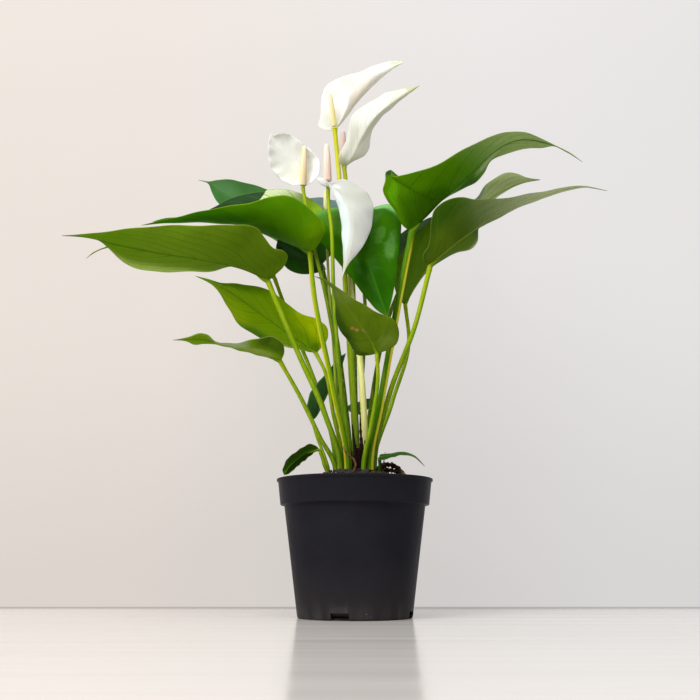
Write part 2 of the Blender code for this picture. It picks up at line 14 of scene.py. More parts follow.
import bpy
import numpy as np
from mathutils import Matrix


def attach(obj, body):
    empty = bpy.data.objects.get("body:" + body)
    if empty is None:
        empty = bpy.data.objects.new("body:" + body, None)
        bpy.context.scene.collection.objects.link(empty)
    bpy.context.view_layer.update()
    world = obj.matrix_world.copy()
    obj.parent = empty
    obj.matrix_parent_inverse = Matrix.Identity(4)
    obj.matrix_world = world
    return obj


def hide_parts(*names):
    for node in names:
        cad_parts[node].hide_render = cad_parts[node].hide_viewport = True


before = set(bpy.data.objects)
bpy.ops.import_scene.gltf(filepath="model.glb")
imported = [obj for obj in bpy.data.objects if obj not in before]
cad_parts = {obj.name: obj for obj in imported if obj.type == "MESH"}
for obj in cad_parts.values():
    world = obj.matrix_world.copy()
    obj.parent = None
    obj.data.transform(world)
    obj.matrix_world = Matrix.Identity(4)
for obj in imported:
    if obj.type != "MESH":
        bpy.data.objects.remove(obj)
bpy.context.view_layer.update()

LOG = logging.getLogger("anthurium")
Colour = tuple[float, float, float]
Place = tuple[float, float, float]
Output = bpy.types.NodeSocket

POT_HEIGHT = 112.0
RIM_RADIUS = 65.0
SOIL_EDGE_HEIGHT = 104.5
SOIL_TOP_HEIGHT = 118.0
SOIL_FLAT_RADIUS = 13.0


class Slot(Enum):
    """The record's material slots."""

    LEAF_YELLOW_GREEN = "leaf_yellow_green"
    LEAF_GREEN = "leaf_green"
    LEAF_DARK = "leaf_dark"
    PETIOLE = "petiole"
    PEDUNCLE = "peduncle"
    SPATHE = "spathe"
    SPADIX_YELLOW = "spadix_yellow"
    SPADIX_PINK = "spadix_pink"
    SPADIX_CREAM = "spadix_cream"
    POT = "pot"
    SOIL = "soil"
    CROWN = "crown"
    DRY_BROWN = "dry_brown"


# Helpers for shapes.


def mm(value: object) -> np.ndarray:
    """Millimetres, or a sequence of them, in metres."""
    return np.asarray(value, float) * 0.001


def unit(vectors: np.ndarray) -> np.ndarray:
    """Vectors scaled to length 1."""
    return vectors / np.maximum(np.linalg.norm(vectors, axis=-1, keepdims=True), 1e-12)


def soil_height(x: np.ndarray, y: np.ndarray) -> np.ndarray:
    """Height of the soil: a mound that falls from its flat top to the pot's wall as a cosine."""
    fall = np.clip((np.hypot(x, y) - SOIL_FLAT_RADIUS) / (RIM_RADIUS - SOIL_FLAT_RADIUS), 0, 1)
    return SOIL_EDGE_HEIGHT + (SOIL_TOP_HEIGHT - SOIL_EDGE_HEIGHT) * (1 + np.cos(pi * fall)) / 2


def lumps(points: np.ndarray, size: float, seed: int, layers: int = 14) -> np.ndarray:
    """Smooth unevenness between about -1 and 1.

    Sums sines of the place along random directions, each with its own phase, and divides by the
    root of half their number.

    Args:
        points: places, in millimetres, with their coordinates on the last axis.
        size: the usual width of a lump, in millimetres.
        seed: seed of the directions and phases.
        layers: how many sines are added.

    Returns:
        One value for each place.
    """
    pick = np.random.default_rng(seed)
    ways = unit(pick.normal(size=(layers, 3))) * (pi / size) * pick.uniform(0.6, 1.6, (layers, 1))
    waves = np.sin(points @ ways.T + pick.uniform(0, 2 * pi, layers))
    return waves.sum(-1) / np.sqrt(layers / 2)


def lengths(path: np.ndarray) -> np.ndarray:
    """Length of a path up to each of its points."""
    return np.concatenate([[0.0], np.cumsum(np.linalg.norm(np.diff(path, axis=0), axis=1))])


def curve_through(places: Sequence[Place], share: np.ndarray) -> np.ndarray:
    """Points on a smooth curve through the given places.

    Between two places the curve is a cubic whose end slopes come from the neighbouring places.

    Args:
        places: the places to pass, in order.
        share: where the points lie, from 0 at the first place to 1 at the last.

    Returns:
        The points, one row each.
    """
    knots = np.array(places, float)
    length = lengths(knots)
    slope = np.gradient(knots, length, axis=0)
    at = np.clip(share, 0, 1) * length[-1]
    piece = np.clip(np.searchsorted(length, at, side="right") - 1, 0, len(knots) - 2)
    step = (length[piece + 1] - length[piece])[:, None]
    x = (at - length[piece])[:, None] / step
    return ((2 * x ** 3 - 3 * x ** 2 + 1) * knots[piece] + (x ** 3 - 2 * x ** 2 + x) * step * slope[piece]
            + (3 * x ** 2 - 2 * x ** 3) * knots[piece + 1] + (x ** 3 - x ** 2) * step * slope[piece + 1])


def smooth_path(places: Sequence[Place], spacing: float) -> np.ndarray:
    """Points about spacing apart on the smooth curve through the given places."""
    count = round(lengths(np.array(places, float))[-1] / spacing) + 1
    return curve_through(places, np.linspace(0.0, 1.0, max(3, count)))


def put_in(name: str, data: bpy.types.ID) -> bpy.types.Object:
    """Put an object that shows a mesh, a light or a camera into the scene.

    Args:
        name: the object's name.
        data: what it shows.

    Returns:
        The object.
    """
    item = bpy.data.objects.new(name, data)
    bpy.context.scene.collection.objects.link(item)
    return item


def ring_faces(count: int, around: int) -> list[list[int]]:
    """The four-sided faces between neighbouring closed rings.

    Args:
        count: how many rings there are.
        around: how many points each has.

    Returns:
        The faces.
    """
    ring, turn = np.meshgrid(np.arange(count - 1), np.arange(around), indexing="ij")
    here, after = ring * around + turn, ring * around + (turn + 1) % around
    return np.stack([here, after, after + around, here + around], -1).reshape(-1, 4).tolist()


@dataclass
class Shell:
    """A closed surface: its points in millimetres, its faces, and what its finish reads there."""

    points: np.ndarray
    faces: list[list[int]]
    marks: dict[str, np.ndarray] = field(default_factory=dict)

    def volume(self) -> float:
        """The volume inside: a sixth of the sum of a . (b x c) over the triangles a, b, c.

        Returns:
            The volume, which is positive when the faces point outwards.
        """
        triangles = np.array([(face[0], face[n], face[n + 1]) for face in self.faces
                              for n in range(1, len(face) - 1)])
        a, b, c = (self.points[triangles[:, n]] for n in range(3))
        return float(np.einsum("ij,ij->i", a, np.cross(b, c)).sum() / 6)

    def outward(self) -> "Shell":
        """Turn the faces outwards.

        Returns:
            The same shell.
        """
        if self.volume() < 0:
            self.faces = [face[::-1] for face in self.faces]
        return self

    def joined(self, other: "Shell") -> "Shell":
        """Put this shell and another together.

        Args:
            other: the other shell.

        Returns:
            Both as one shell, with the marks that both have.
        """
        shift = len(self.points)
        marks = {name: np.concatenate([self.marks[name], other.marks[name]])
                 for name in self.marks if name in other.marks}
        return Shell(np.vstack([self.points, other.points]),
                     self.faces + [[corner + shift for corner in face] for face in other.faces], marks)

    def piece(self, name: str, finish: bpy.types.Material, slot: Slot, *nodes: str) -> None:
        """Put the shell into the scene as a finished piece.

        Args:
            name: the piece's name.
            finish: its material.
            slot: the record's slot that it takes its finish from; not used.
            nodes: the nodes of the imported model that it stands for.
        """
        mesh = bpy.data.meshes.new(name)
        mesh.from_pydata(mm(self.points), [], self.faces)
        for mark, values in self.marks.items():
            kind, part = ("FLOAT_VECTOR", "vector") if values.ndim == 2 else ("FLOAT", "value")
            layer = mesh.attributes.new(mark, kind, "POINT")
            layer.data.foreach_set(part, values.astype(np.float32).ravel())
        mesh.shade_smooth()
        mesh.materials.append(finish)
        item = put_in(name, mesh)
        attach(item, "root")
        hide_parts(*nodes)
        LOG.info("%s: %d faces, stands for %s", name, len(self.faces), ", ".join(nodes))


def rings_to_shell(rings: np.ndarray, marks: dict[str, np.ndarray] | None = None) -> Shell:
    """A closed skin over a row of closed rings, with a pole at the middle of the first and last.

    Args:
        rings: places of the rings' points, one ring after the other: rings x points x 3.
        marks: what the finish reads at each point, shaped as rings is.

    Returns:
        The closed shell.
    """
    count, around = rings.shape[:2]
    faces = ring_faces(count, around)
    edge = np.arange(around)
    last = (count - 1) * around
    foot, head = count * around, count * around + 1
    faces += np.stack([(edge + 1) % around, edge, np.full(around, foot)], -1).tolist()
    faces += np.stack([last + edge, last + (edge + 1) % around, np.full(around, head)], -1).tolist()
    points = np.vstack([rings.reshape(-1, 3), rings[0].mean(0), rings[-1].mean(0)])
    held = {}
    for name, values in (marks or {}).items():
        held[name] = np.vstack([values.reshape(-1, 3), values[0].mean(0), values[-1].mean(0)])
    return Shell(points, faces, held).outward()


def ring_turns(count: int) -> np.ndarray:
    """The angles of a ring's points."""
    return np.arange(count) * 2 * pi / count


def tube(path: np.ndarray, radius: np.ndarray, sides: int) -> Shell:
    """A round bar along a path: each ring stands square to it, turned from one fixed direction.

    A point of a ring is the path's point plus radius * (cos a * side + sin a * front), where side
    is +X made square to the path, and front is square to both.

    Args:
        path: the points of the path, which never runs along X.
        radius: the radius at each point, or at each point of each ring.
        sides: how many points a ring has.

    Returns:
        The shell. Its mark "stem" holds the share of the length, the turn and the length in millimetres.
    """
    run = unit(np.gradient(path, axis=0))
    side = unit(np.array((1.0, 0.0, 0.0)) - run[:, :1] * run)
    front = np.cross(run, side)
    turn = ring_turns(sides)
    reach = np.broadcast_to(radius.reshape(len(path), -1), (len(path), sides))[..., None]
    rings = path[:, None] + reach * (np.cos(turn)[None, :, None] * side[:, None]
                                     + np.sin(turn)[None, :, None] * front[:, None])
    length = lengths(path)
    stem = np.stack(np.broadcast_arrays((length / length[-1])[:, None], (turn / (2 * pi))[None],
                                        length[:, None]), -1)
    return rings_to_shell(rings, {"stem": stem})


# Helpers for finishes.


SHADER_SOCKETS = {
    "base": "Base Color", "roughness": "Roughness", "shine": "Specular IOR Level", "tint": "Specular Tint",
    "depth": "Subsurface Weight", "depth_reach": "Subsurface Radius", "glow": "Emission Color",
    "glow_strength": "Emission Strength"}


class Bench:
    """A material being mixed: its nodes, and the shader that they feed."""

    def __init__(self, name: str) -> None:
        """Start a material with one Principled shader.

        Args:
            name: the material's name.
        """
        self.material = bpy.data.materials.new(name)
        self.material.use_nodes = True
        self.tree = self.material.node_tree
        self.shader = self.tree.nodes["Principled BSDF"]
        self.surface = self.tree.nodes["Material Output"].inputs["Surface"]
        self.place = self.add("ShaderNodeTexCoord").outputs["Object"]

    def add(self, kind: str, sockets: dict[str | int, object] | None = None,
            **settings: object) -> bpy.types.Node:
        """Put a node on the bench.

        Args:
            kind: its kind.
            sockets: what its sockets take, by name or number.
            settings: its settings, by name.

        Returns:
            The new node.
        """
        node = self.tree.nodes.new(kind)
        for name, value in settings.items():
            setattr(node, name, value)
        for name, value in (sockets or {}).items():
            self.feed(node.inputs[name], value)
        return node

    def feed(self, socket: Output, value: object) -> None:
        """Give a socket what it takes.

        Args:
            socket: the socket.
            value: a value, a colour or another node's output.
        """
        if isinstance(value, Output):
            self.tree.links.new(value, socket)
        elif isinstance(value, tuple) and len(value) == 3 and len(socket.default_value) == 4:
            socket.default_value = (*value, 1.0)
        else:
            socket.default_value = value

    def coat(self, **values: object) -> None:
        """Give the shader's own sockets their values, colours or outputs, by their short names."""
        for name, value in values.items():
            self.feed(self.shader.inputs[SHADER_SOCKETS[name]], value)

    def mark(self, name: str) -> bpy.types.Node:
        """The node that reads one of the piece's marks."""
        return self.add("ShaderNodeAttribute", attribute_type="GEOMETRY", attribute_name=name)

    def stem(self) -> list[Output]:
        """What the mark of a bar holds: the share of its length, the turn and the length."""
        return self.parts(self.mark("stem").outputs["Vector"])

    def parts(self, vector: Output) -> list[Output]:
        """The three numbers of a vector."""
        return list(self.add("ShaderNodeSeparateXYZ", {0: vector}).outputs)

    def stretched(self, scale: Place, vector: Output | None = None) -> Output:
        """Coordinates, or the piece's own place, stretched by a scale for each axis."""
        return self.add("ShaderNodeMapping", {"Vector": vector or self.place, "Scale": scale}).outputs[0]

    def noise(self, scale: float, detail: float = 3.0, roughness: float = 0.5,
              vector: Output | None = None) -> Output:
        """Cloudy noise from 0 to 1, with detail finer layers as strong as the roughness says."""
        sockets = {"Vector": vector or self.place, "Scale": scale, "Detail": detail, "Roughness": roughness}
        return self.add("ShaderNodeTexNoise", sockets).outputs["Fac"]

    def cells(self, scale: float, feature: str = "F1") -> Output:
        """Distance to a cell's middle, F1, or edge, DISTANCE_TO_EDGE, with scale cells to a metre."""
        sockets = {"Vector": self.place, "Scale": scale}
        return self.add("ShaderNodeTexVoronoi", sockets, feature=feature).outputs["Distance"]

    def sum(self, operation: str, *values: object) -> Output:
        """What an operation makes of numbers or outputs."""
        return self.add("ShaderNodeMath", dict(enumerate(values)), operation=operation).outputs[0]

    def fold(self, value: Output) -> Output:
        """How far a number between 0 and 1 is from the nearer of the two."""
        return self.sum("MINIMUM", value, self.sum("SUBTRACT", 1.0, value))

    def round_from(self, turn: Output, place: float) -> Output:
        """How far round a bar a place lies from a turn, at most half a turn."""
        return self.fold(self.sum("ABSOLUTE", self.sum("SUBTRACT", turn, place)))

    def span(self, value: object, low: float, high: float, start: float = 0.0, end: float = 1.0) -> Output:
        """A number between low and high, moved smoothly to its place between start and end."""
        sockets = {"Value": value, "From Min": low, "From Max": high, "To Min": start, "To Max": end}
        return self.add("ShaderNodeMapRange", sockets, interpolation_type="SMOOTHSTEP").outputs[0]

    def blend(self, share: object, first: object, second: object, way: str = "MIX") -> Output:
        """Two colours mixed in a way, with the share of the second from 0 to 1."""
        sockets = {0: share, 6: first, 7: second}
        return self.add("ShaderNodeMix", sockets, data_type="RGBA", blend_type=way).outputs[2]

    def relief(self, height: Output, depth: float, strength: float = 1.0) -> None:
        """Give the shader fine relief from a height between 0 and 1, depth metres deep."""
        bump = self.add("ShaderNodeBump", {"Strength": strength, "Distance": depth, "Height": height})
        self.feed(self.shader.inputs["Normal"], bump.outputs[0])

    def mix_in(self, share: object, other: bpy.types.Node) -> None:
        """Mix the shader with a share of another one."""
        mixed = self.add("ShaderNodeMixShader", {0: share, 1: self.shader.outputs[0], 2: other.outputs[0]})
        self.feed(self.surface, mixed.outputs[0])

    def lit_through(self, colour: Output, share: float) -> None:
        """Let a share of the light through, in a colour."""
        self.mix_in(share, self.add("ShaderNodeBsdfTranslucent", {"Color": colour}))


class Finish:
    """What a piece is coated with."""

    def mix(self, name: str) -> bpy.types.Material:
        """Mix the finish on a bench of its own.

        Args:
            name: the material's name.

        Returns:
            The material.
        """
        bench = Bench(name)
        self.dress(bench)
        return bench.material

    def dress(self, bench: Bench) -> None:
        """Put the finish on a bench, in each finish's own way."""
        raise NotImplementedError


@dataclass(frozen=True)
class Patch:
    """A place on a blade where its colour changes.

    along and across say where, from base to tip and from the left edge, -1, to the right, 1.
    length and width are half its measures on those scales, and ragged how uneven its outline is.
    """

    along: float
    across: float
    length: float
    width: float
    colour: Colour
    strength: float = 1.0
    ragged: float = 0.3


@dataclass(frozen=True)
class BladeFinish(Finish):
    """The skin of a leaf blade or spathe: two sides, veins, a thin margin with a painted highlight, and light
    through it.
    """

    upper: Colour
    under: Colour
    shade: Colour
    vein: Colour
    glow: Colour
    rib: Colour
    # edge: the margin's lighter line, a painted highlight where the thin rim catches light
    edge: Colour
    tip: Colour = (0.12, 0.14, 0.02)
    far: Colour = (0.0, 0.0, 0.0)
    far_span: tuple[float, float] = (2.0, 3.0)
    vein_strength: float = 0.75
    vein_count: float = 9.0
    roughness: float = 0.36
    shine: float = 0.05
    gloss_tint: Colour = (0.55, 1.0, 0.3)
    streaks: float = 0.6
    streak: Colour = (0.62, 0.74, 0.6)
    vein_shade: Colour = (0.4, 0.52, 0.4)
    through: float = 0.3
    patches: tuple[Patch, ...] = ()

    def dress(self, bench: Bench) -> None:
        """Mix the finish, which reads the marks "growth" and "reach" of a blade.

        growth holds the vein coordinate, the place across, and 1 on the under side. reach holds
        the place along, and the distances from the midrib and from the margin in millimetres.

        Args:
            bench: where it is mixed.
        """
        growth = bench.mark("growth").outputs["Vector"]
        line, across, under = bench.parts(growth)
        along, rib, margin = bench.parts(bench.mark("reach").outputs["Vector"])
        broad = bench.noise(22.0, 4.0, 0.6)
        fine = bench.noise(420.0, 3.0, 0.6)
        colour = bench.blend(bench.span(broad, 0.3, 0.7), self.upper, self.shade)
        beneath = bench.blend(bench.span(broad, 0.35, 0.75, 0.0, 0.6), self.under, self.shade)
        colour = bench.blend(under, colour, beneath)
        if self.far_span[0] < 1:
            colour = bench.blend(bench.span(along, *self.far_span), colour, self.far)
        drawn = bench.noise(1.0, 3.0, 0.6, bench.stretched((120.0, 2.2, 0.0), growth))
        for patch in self.patches:
            colour = self.patched(bench, patch, along, across, colour)
        streaked = bench.span(drawn, 0.42, 0.64, 0.0, self.streaks)
        colour = bench.blend(streaked, colour, self.streak, "MULTIPLY")
        main = self.vein_lines(bench, line, self.vein_count, 0.055)
        small = self.vein_lines(bench, line, self.vein_count * 4.0, 0.1)
        inward = bench.span(margin, 0.4, 5.0)
        net = bench.span(bench.cells(330.0, "DISTANCE_TO_EDGE"), 0.0, 0.09, 1.0, 0.0)
        lines = bench.sum("MULTIPLY", bench.sum("MAXIMUM", main, bench.sum("MULTIPLY", small, 0.35)), inward)
        lines = bench.sum("MAXIMUM", lines, bench.sum("MULTIPLY", net, 0.16))
        drawn_veins = bench.sum("MULTIPLY", lines, self.vein_strength)
        colour = bench.blend(drawn_veins, colour, self.vein)
        colour = bench.blend(bench.span(rib, 0.35, 1.3, 0.9, 0.0), colour, self.rib)
        # Painted highlight: a lighter line along the margin, where the rim catches light.
        colour = bench.blend(bench.span(margin, 0.15, 0.75, 0.75, 0.0), colour, self.edge)
        colour = bench.blend(bench.span(along, 0.95, 1.0, 0.0, 0.6), colour, self.tip)
        colour = bench.blend(bench.span(fine, 0.3, 0.8, 0.0, 0.22), colour, self.shade)
        gloss = bench.span(broad, 0.3, 0.7, self.roughness - 0.05, self.roughness + 0.07)
        bench.coat(base=colour, roughness=bench.sum("ADD", gloss, bench.sum("MULTIPLY", under, 0.14)),
                   shine=self.shine, tint=self.gloss_tint)
        height = bench.sum("ADD", bench.sum("MULTIPLY", lines, 0.6), bench.sum("MULTIPLY", fine, 0.4))
        bench.relief(height, 0.00022, 0.7)
        veined = bench.blend(drawn_veins, self.glow, self.vein_shade, "MULTIPLY")
        bench.lit_through(bench.blend(0.75, colour, veined), self.through)

    @staticmethod
    def vein_lines(bench: Bench, line: Output, count: float, width: float) -> Output:
        """Lines of even width where the vein coordinate times a count is a whole number."""
        away = bench.fold(bench.sum("FRACT", bench.sum("MULTIPLY", line, count)))
        return bench.span(away, 0.0, width, 1.0, 0.0)

    @staticmethod
    def patched(bench: Bench, patch: Patch, along: Output, across: Output, colour: Output) -> Output:
        """Lay one patch on a colour: an oval, its outline made uneven by noise.

        Args:
            bench: the material.
            patch: the patch.
            along: the place along the blade.
            across: the place across it.
            colour: the colour so far.

        Returns:
            The colour with the patch on it.
        """
        far = bench.sum("DIVIDE", bench.sum("SUBTRACT", along, patch.along), patch.length)
        wide = bench.sum("DIVIDE", bench.sum("SUBTRACT", across, patch.across), patch.width)
        square = bench.sum("ADD", bench.sum("MULTIPLY", far, far), bench.sum("MULTIPLY", wide, wide))
        uneven = bench.sum("SUBTRACT", bench.noise(160.0, 2.0), 0.5)
        reach = bench.sum("ADD", bench.sum("SQRT", square), bench.sum("MULTIPLY", uneven, patch.ragged * 2.0))
        return bench.blend(bench.span(reach, 0.45, 1.1, patch.strength, 0.0), colour, patch.colour)


@dataclass(frozen=True)
class StalkFinish(Finish):
    """The skin of a stalk: its colour from foot to top, a shaded right flank, streaks and a joint.

    streak_turn and streak_width place one long streak round the stalk, flank is how strong the
    shade is, and joint how far below the blade the joint's colour starts and ends.
    """

    foot: Colour
    middle: Colour
    top: Colour
    streak: Colour = (0.5, 0.52, 0.05)
    streak_turn: float = 0.5
    streak_width: float = 0.0
    speck: Colour = (0.30, 0.40, 0.06)
    seat: Colour = (0.11, 0.20, 0.006)
    seated: float = 0.85
    joint: tuple[float, float] = (8.0, 13.0)
    flank: float = 0.75
    flank_shade: Colour = (0.36, 0.52, 0.3)
    grain: float = 0.5
    roughness: float = 0.42

    def dress(self, bench: Bench) -> None:
        """Mix the finish, which reads the mark "stem" of a bar.

        Args:
            bench: where it is mixed.
        """
        share, turn, length = bench.stem()
        colour = bench.blend(bench.span(share, 0.0, 0.45), self.foot, self.middle)
        colour = bench.blend(bench.span(share, 0.55, 0.97), colour, self.top)
        drawn = bench.noise(1.0, 3.0, 0.6, bench.stretched((620.0, 620.0, 34.0)))
        colour = bench.blend(bench.span(drawn, 0.35, 0.8, 0.0, self.grain), colour, self.streak)
        if self.streak_width > 0:
            away = bench.round_from(turn, self.streak_turn)
            band = bench.span(away, self.streak_width * 0.5, self.streak_width, 0.9, 0.0)
            band = bench.sum("MULTIPLY", band, bench.span(share, 0.85, 0.95, 1.0, 0.0))
            colour = bench.blend(band, colour, self.streak)
        shaded = bench.span(bench.fold(turn), 0.04, 0.3, self.flank, 0.0)
        colour = bench.blend(shaded, colour, self.flank_shade, "MULTIPLY")
        specks = bench.span(bench.cells(700.0), 0.0, 0.16, 0.35, 0.0)
        colour = bench.blend(specks, colour, self.speck)
        ahead = bench.sum("SUBTRACT", bench.sum("DIVIDE", length, share), length)
        colour = bench.blend(bench.span(ahead, *self.joint, self.seated, 0.0), colour, self.seat)
        bench.coat(base=colour, roughness=self.roughness, shine=0.06, tint=(0.8, 1.0, 0.4))
        bench.relief(drawn, 0.00025, 0.6)


@dataclass(frozen=True)
class SpadixFinish(Finish):
    """The skin of a spadix: packed florets with a paler dot on each, coloured from base to tip, with a
    painted highlight down one side.
    """

    base: Colour
    tip: Colour
    lit: Colour
    lit_turn: float = 0.5
    dot: Colour = (0.93, 0.88, 0.78)

    def dress(self, bench: Bench) -> None:
        """Mix the finish, which reads the marks "stem" and "floret".

        Args:
            bench: where it is mixed.
        """
        share, turn, _ = bench.stem()
        floret = bench.mark("floret").outputs["Fac"]
        colour = bench.blend(bench.span(share, 0.1, 0.95), self.base, self.tip)
        # Painted highlight: lighter down the side that faces the light.
        lit = bench.span(bench.round_from(turn, self.lit_turn), 0.05, 0.28, 0.8, 0.0)
        colour = bench.blend(lit, colour, self.lit)
        colour = bench.blend(bench.span(floret, 0.55, 0.95, 0.0, 0.35), colour, self.dot)
        seam = tuple(0.55 * part for part in self.base)
        colour = bench.blend(bench.span(floret, 0.0, 0.3, 0.45, 0.0), colour, seam)
        bench.coat(base=colour, roughness=0.55, depth=0.2, depth_reach=(0.002, 0.0015, 0.001))
        bench.relief(bench.noise(1600.0, 2.0), 0.00012, 0.5)


@dataclass(frozen=True)
class PotFinish(Finish):
    """Black moulded plastic with faint scuffs, fine grain, dust above the foot, and a painted floor
    reflection low down.
    """

    plastic: Colour = (0.014, 0.0135, 0.018)
    worn: Colour = (0.02, 0.0195, 0.025)
    # foot: a lighter, browner tone low on the pot, a painted reflection of the floor
    foot: Colour = (0.030, 0.026, 0.027)
    dust: Colour = (0.62, 0.6, 0.56)

    def dress(self, bench: Bench) -> None:
        """Mix the finish.

        Args:
            bench: where it is mixed.
        """
        z = bench.parts(bench.place)[2]
        clouds = bench.noise(26.0, 4.0, 0.6)
        drawn = bench.noise(1.0, 3.0, 0.6, bench.stretched((90.0, 90.0, 12.0)))
        colour = bench.blend(bench.span(clouds, 0.35, 0.75, 0.0, 0.55), self.plastic, self.worn)
        # Painted floor reflection: lighter and browner towards the foot.
        colour = bench.blend(bench.span(z, 0.0, 0.05, 0.7, 0.0), colour, self.foot)
        low = bench.span(z, 0.0, 0.02, 1.0, 0.0)
        grains = bench.span(bench.cells(260.0), 0.03, 0.09, 1.0, 0.0)
        few = bench.span(bench.noise(60.0, 2.0), 0.5, 0.7, 0.05, 1.0)
        specks = bench.sum("MULTIPLY", bench.sum("MULTIPLY", grains, few), bench.sum("ADD", low, 0.06))
        # A faint streaky film low down, part dust and part painted floor reflection.
        dust_and_reflection_film = bench.sum("MULTIPLY", bench.sum("MULTIPLY", low, bench.span(drawn, 0.35, 0.8)), 0.05)
        colour = bench.blend(bench.sum("MAXIMUM", specks, dust_and_reflection_film), colour, self.dust)
        bench.coat(base=colour, roughness=bench.span(drawn, 0.3, 0.75, 0.34, 0.5), shine=0.03)
        grain = bench.noise(1500.0, 2.0, 0.6)
        bench.relief(bench.sum("ADD", grain, bench.sum("MULTIPLY", drawn, 0.6)), 0.00008, 0.5)


@dataclass(frozen=True)
class EarthFinish(Finish):
    """Potting mix: dark peat with lighter fibres and a few pale grains."""

    peat: Colour = (0.009, 0.006, 0.005)
    fibre: Colour = (0.03, 0.018, 0.012)
    grain: Colour = (0.45, 0.42, 0.36)
    grains: float = 0.5

    def dress(self, bench: Bench) -> None:
        """Mix the finish.

        Args:
            bench: where it is mixed.
        """
        coarse = bench.noise(140.0, 5.0, 0.7)
        strands = bench.noise(1.0, 3.0, 0.7, bench.stretched((300.0, 900.0, 500.0)))
        colour = bench.blend(bench.span(coarse, 0.35, 0.75), self.peat, self.fibre)
        colour = bench.blend(bench.span(strands, 0.6, 0.72, 0.0, 0.6), colour, self.fibre)
        dots = bench.span(bench.cells(240.0), 0.04, 0.1, self.grains, 0.0)
        colour = bench.blend(bench.sum("MULTIPLY", dots, bench.span(coarse, 0.52, 0.62)), colour, self.grain)
        bench.coat(base=colour, roughness=bench.span(coarse, 0.3, 0.7, 0.75, 0.97))
        bench.relief(bench.noise(700.0, 4.0, 0.7), 0.0006, 0.9)


@dataclass(frozen=True)
class FibreFinish(Finish):
    """Dry fibre or bark: dark ground with drawn-out lighter strands and worn ends."""

    ground: Colour
    strand: Colour
    end: Colour

    def dress(self, bench: Bench) -> None:
        """Mix the finish, which reads the mark "stem".

        Args:
            bench: where it is mixed.
        """
        share = bench.stem()[0]
        drawn = bench.noise(1.0, 4.0, 0.7, bench.stretched((900.0, 900.0, 90.0)))
        colour = bench.blend(bench.span(drawn, 0.35, 0.75), self.ground, self.strand)
        colour = bench.blend(bench.span(share, 0.72, 1.0, 0.0, 0.85), colour, self.end)
        bench.coat(base=colour, roughness=0.85, shine=0.08)
        bench.relief(drawn, 0.0005, 0.9)


@dataclass(frozen=True)
class StudioFinish(Finish):
    """A stage surface: pale, with faint brushed clouds, lit evenly from its left to its right side."""

    colour: Colour
    cloud: Colour
    roughness: float
    one_sided: bool = False
    shine: float = 0.0
    left_light: Colour = (1.0, 0.91, 0.835)
    right_light: Colour = (0.99, 0.975, 0.985)

    def dress(self, bench: Bench) -> None:
        """Mix the finish, seen from its front only where it is one-sided.

        Args:
            bench: where it is mixed.
        """
        drawn = bench.noise(1.0, 3.0, 0.55, bench.stretched((2.0, 30.0, 6.0)))
        bench.coat(base=bench.blend(bench.span(drawn, 0.35, 0.7, 0.0, 0.5), self.colour, self.cloud),
                   roughness=bench.span(drawn, 0.3, 0.7, self.roughness, self.roughness + 0.06))
        if self.shine > 0:
            self.light_up(bench)
        if self.one_sided:
            back = bench.add("ShaderNodeNewGeometry").outputs["Backfacing"]
            bench.mix_in(back, bench.add("ShaderNodeBsdfTransparent"))

    def light_up(self, bench: Bench) -> None:
        """Let the surface glow: warmer at the left, weaker low down, with a painted shadow line at its foot
        in the corner with the floor.

        Args:
            bench: the material.
        """
        x, _, z = bench.parts(bench.place)
        low = bench.span(z, 0.0, 0.32, self.shine * 0.88, self.shine)
        # Painted shadow: a darker line along the wall's foot, in the corner with the floor.
        foot = bench.span(z, 0.0008, 0.0022, 0.6, 1.0)
        bench.coat(glow=bench.blend(bench.span(x, -0.32, 0.28), self.left_light, self.right_light),
                   glow_strength=bench.sum("MULTIPLY", low, foot), shine=0.0)


# The plant's pieces.


